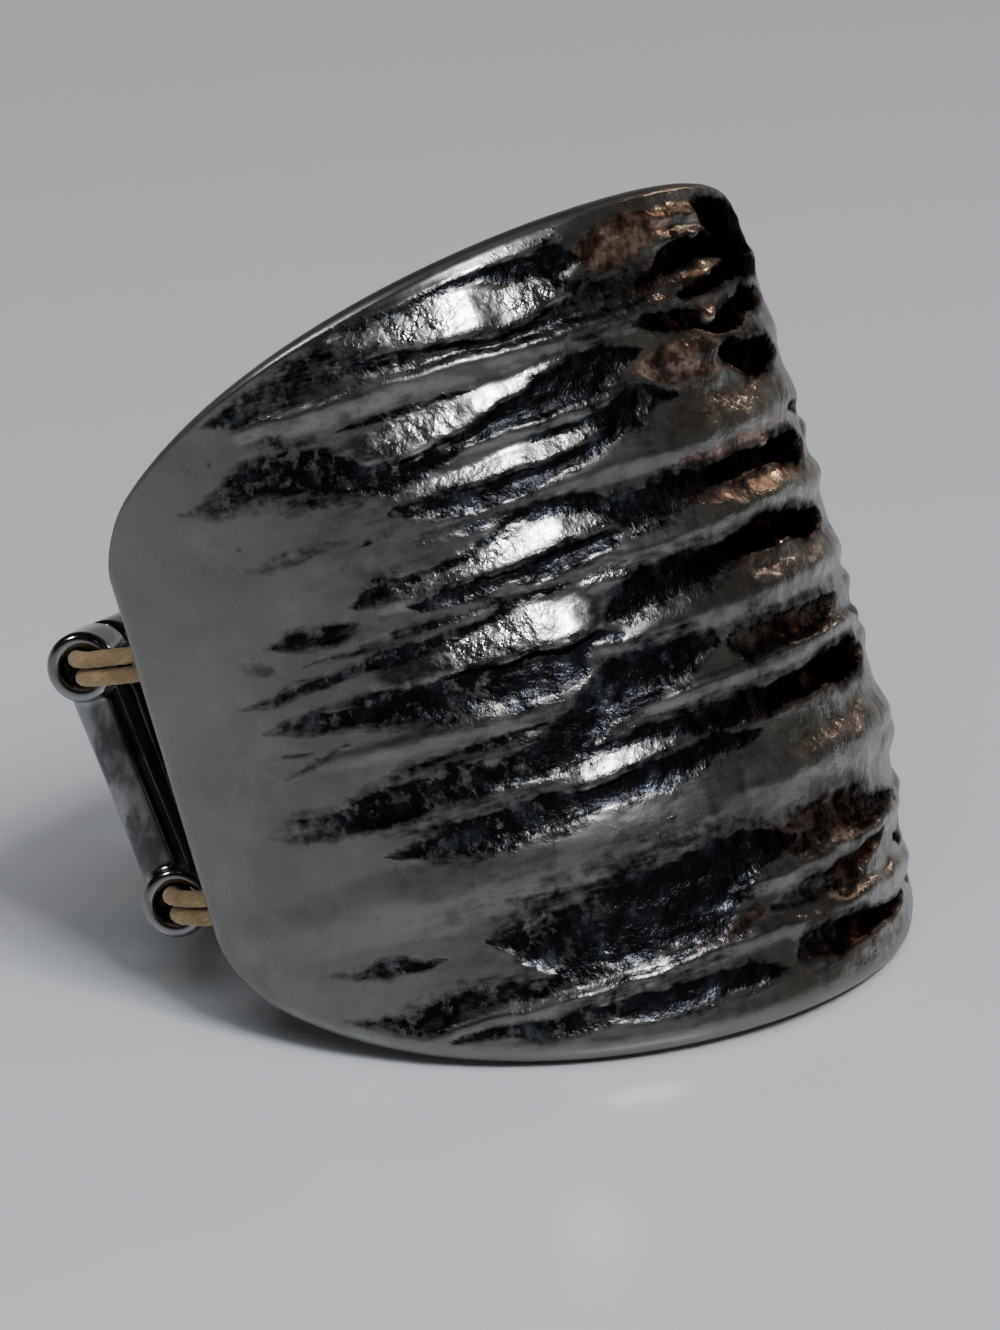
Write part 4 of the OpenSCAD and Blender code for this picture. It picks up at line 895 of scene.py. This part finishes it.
    # small facets on the bright crests
    facets = math_n(nt, "SUBTRACT", noise_n(nt, co, 4300, 2, 0.5), 0.5)
    n1 = bump(nt, math_n(nt, "MULTIPLY", facets, foil_), 0.00005, 1.0, n1)
    worn = math_n(nt, "MAXIMUM", math_n(nt, "MAXIMUM", dark, foil_), math_n(nt, "MULTIPLY", copper, 0.8))
    worn = math_n(nt, "MULTIPLY", worn, math_n(nt, "SUBTRACT", 1.0, flat_))
    fine = math_n(nt, "MULTIPLY", math_n(nt, "SUBTRACT", speck, 0.5), math_n(nt, "MAXIMUM", worn, 0.10))
    # shallow dents beyond the apex
    dents = math_n(nt, "SUBTRACT", noise_n(nt, co, 1500, 4, 0.62), 0.5)
    dents = math_n(nt, "MULTIPLY", math_n(nt, "MULTIPLY", dents, side_n.outputs[0]), math_n(nt, "SUBTRACT", outside, flat_, True))
    n1 = bump(nt, dents, 0.00009, 1.0, n1)
    n2 = bump(nt, fine, 0.00008, 0.8, n1)
    nt.links.new(n2, b.inputs["Normal"])
    return m

def metal_link():
    m, nt, b = new_material("gunmetal_link")
    b.inputs["Metallic"].default_value = 1.0
    co = object_coords(nt)
    blotch = noise_n(nt, co, 700, 4, 0.6)
    base = ramp(nt, blotch, [(0.30, (0.20, 0.20, 0.20)), (0.72, (0.30, 0.30, 0.305))])
    stain = noise_n(nt, object_coords(nt, (1, 1, 0.5)), 1400, 4, 0.6)
    stain = ramp(nt, stain, [(0.43, (0, 0, 0)), (0.58, (1, 1, 1))])
    stain = math_n(nt, "MULTIPLY", stain, attr(nt, "web"), True)
    base = mix_c(nt, math_n(nt, "MULTIPLY", stain, 0.75, True), base, (0.035, 0.036, 0.042))
    base = mix_c(nt, attr(nt, "bore"), base, (0.050, 0.050, 0.050))
    nt.links.new(base, b.inputs["Base Color"])
    rough = math_n(nt, "MULTIPLY_ADD", blotch, 0.08, c_=0.07)
    rough = math_n(nt, "ADD", rough, math_n(nt, "MULTIPLY", stain, 0.12), True)
    nt.links.new(rough, b.inputs["Roughness"])
    n1 = bump(nt, noise_n(nt, object_coords(nt), 1100, 4, 0.6), 0.00002, 0.25)
    nt.links.new(n1, b.inputs["Normal"])
    return m

def elastic_material():
    m, nt, b = new_material("tan_elastic")
    co = object_coords(nt)
    strand, along = attr(nt, "strand"), attr(nt, "along")
    n_ = noise_n(nt, co, 2400, 5, 0.65)
    col = ramp(nt, n_, [(0.25, (0.24, 0.155, 0.070)), (0.50, (0.41, 0.285, 0.140)), (0.75, (0.58, 0.43, 0.235))])
    # darker in the hollows between the twisted strands: painted shade
    col = mix_c(nt, math_n(nt, "MULTIPLY", math_n(nt, "SUBTRACT", 1.0, strand), 0.45, True), col, (0.20, 0.12, 0.05))
    nt.links.new(col, b.inputs["Base Color"])
    b.inputs["Roughness"].default_value = 0.72
    b.inputs["Sheen Weight"].default_value = 0.35
    b.inputs["Sheen Roughness"].default_value = 0.4
    b.inputs["Subsurface Weight"].default_value = 0.12
    b.inputs["Subsurface Radius"].default_value = (0.0003, 0.0002, 0.0001)
    b.inputs["Subsurface Scale"].default_value = 1.0
    nt.links.new(bump(nt, noise_n(nt, co, 5200, 3, 0.6), 0.00002, 0.6), b.inputs["Normal"])
    return m

m_shield, m_link, m_cord = metal_shield(), metal_link(), elastic_material()
shield.data.materials.append(m_shield)
for ob in lugs + links:
    ob.data.materials.clear()
    ob.data.materials.append(m_link)
for ob in (cord_out, cord_in):
    ob.data.materials.append(m_cord)

# ---------------------------------------------------------------- ride and replace
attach(shield, "root"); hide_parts("shield")
for ob in lugs:
    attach(ob, "root"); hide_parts("shield")
for k, ob in enumerate(links):
    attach(ob, "root"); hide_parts("link_%d" % (k + 1))
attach(cord_out, "root"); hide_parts("cord_outer")
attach(cord_in, "root"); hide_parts("cord_inner")

# ---------------------------------------------------------------- floor, light
def pale_floor():
    s = 1.2
    ob = add_mesh("floor", [(-s, -s, 0), (s, -s, 0), (s, s, 0), (-s, s, 0)], [(0, 1, 2, 3)], smooth=False)
    m, nt, b = new_material("pale_floor")
    b.inputs["Base Color"].default_value = (0.565, 0.595, 0.635, 1)
    b.inputs["Roughness"].default_value = 0.22
    b.inputs["Specular IOR Level"].default_value = 0.5
    ob.data.materials.append(m)
    return ob

floor = pale_floor()

def area(name, azimuth, elevation, dist, size, power, color=(1, 1, 1), size_y=None):
    l = bpy.data.lights.new(name, "AREA")
    l.shape = "RECTANGLE" if size_y else "SQUARE"
    l.size = size
    if size_y:
        l.size_y = size_y
    l.energy = power
    l.color = color
    o = bpy.data.objects.new(name, l)
    bpy.context.scene.collection.objects.link(o)
    az, el = rad(azimuth), rad(elevation)
    d = Vector((math.cos(el) * math.cos(az), math.cos(el) * math.sin(az), math.sin(el)))
    o.location = centre + d * dist
    o.rotation_mode = "QUATERNION"
    o.rotation_quaternion = d.to_track_quat("Z", "Y")
    return o

key = area("key", -9, 47, 0.45, 0.043, 2.8, (0.97, 0.985, 1.0))
key.visible_diffuse = False
soft = area("soft", -9, 47, 0.45, 0.16, 2.1, (1.0, 0.99, 0.98))
soft.visible_glossy = False
glint = area("glint", -112, 56, 0.45, 0.060, 0.8, (1.0, 0.99, 0.97))
glint.visible_diffuse = False
warm = area("warm", 88, 22, 0.6, 0.024, 0.26, (1.0, 0.72, 0.53))
top = area("top", -45, 72, 0.9, 1.1, 5.1, (0.97, 0.985, 1.0))
top.visible_glossy = False

world = bpy.data.worlds.new("studio")
bpy.context.scene.world = world
world.use_nodes = True
nt = world.node_tree
nt.nodes.clear()
tc = node(nt, "ShaderNodeTexCoord")
sep = node(nt, "ShaderNodeSeparateXYZ")
nt.links.new(tc.outputs["Generated"], sep.inputs[0])
height_z = math_n(nt, "MULTIPLY_ADD", sep.outputs["Z"], 0.5, c_=0.5)
cool = ramp(nt, height_z, [
    (0.48, (0.42, 0.425, 0.43)), (0.58, (0.36, 0.363, 0.36)), (0.645, (0.16, 0.162, 0.165)),
    (0.70, (0.022, 0.023, 0.026)), (1.0, (0.015, 0.015, 0.018))])
dusk = ramp(nt, height_z, [
    (0.48, (0.25, 0.240, 0.225)), (0.54, (0.20, 0.190, 0.175)), (0.61, (0.110, 0.098, 0.088)),
    (0.67, (0.070, 0.062, 0.055)), (1.0, (0.012, 0.012, 0.014))])
# 1 towards the warm side of the room, 0 opposite
turned = math_n(nt, "ADD", math_n(nt, "MULTIPLY", sep.outputs["X"], math.cos(rad(70))),
                math_n(nt, "MULTIPLY", sep.outputs["Y"], math.sin(rad(70))))
side_mix = node(nt, "ShaderNodeMapRange", interpolation_type="SMOOTHSTEP")
side_mix.inputs["From Min"].default_value = -0.15
side_mix.inputs["From Max"].default_value = 0.80
nt.links.new(turned, side_mix.inputs["Value"])
bg = node(nt, "ShaderNodeBackground")
nt.links.new(mix_c(nt, side_mix.outputs[0], cool, dusk), bg.inputs["Color"])
bg.inputs["Strength"].default_value = 1.0
wo = node(nt, "ShaderNodeOutputWorld")
nt.links.new(bg.outputs[0], wo.inputs[0])

print("cord lengths mm", round(len_out, 1), round(len_in, 1), "lean", round(math.degrees(lean), 3))
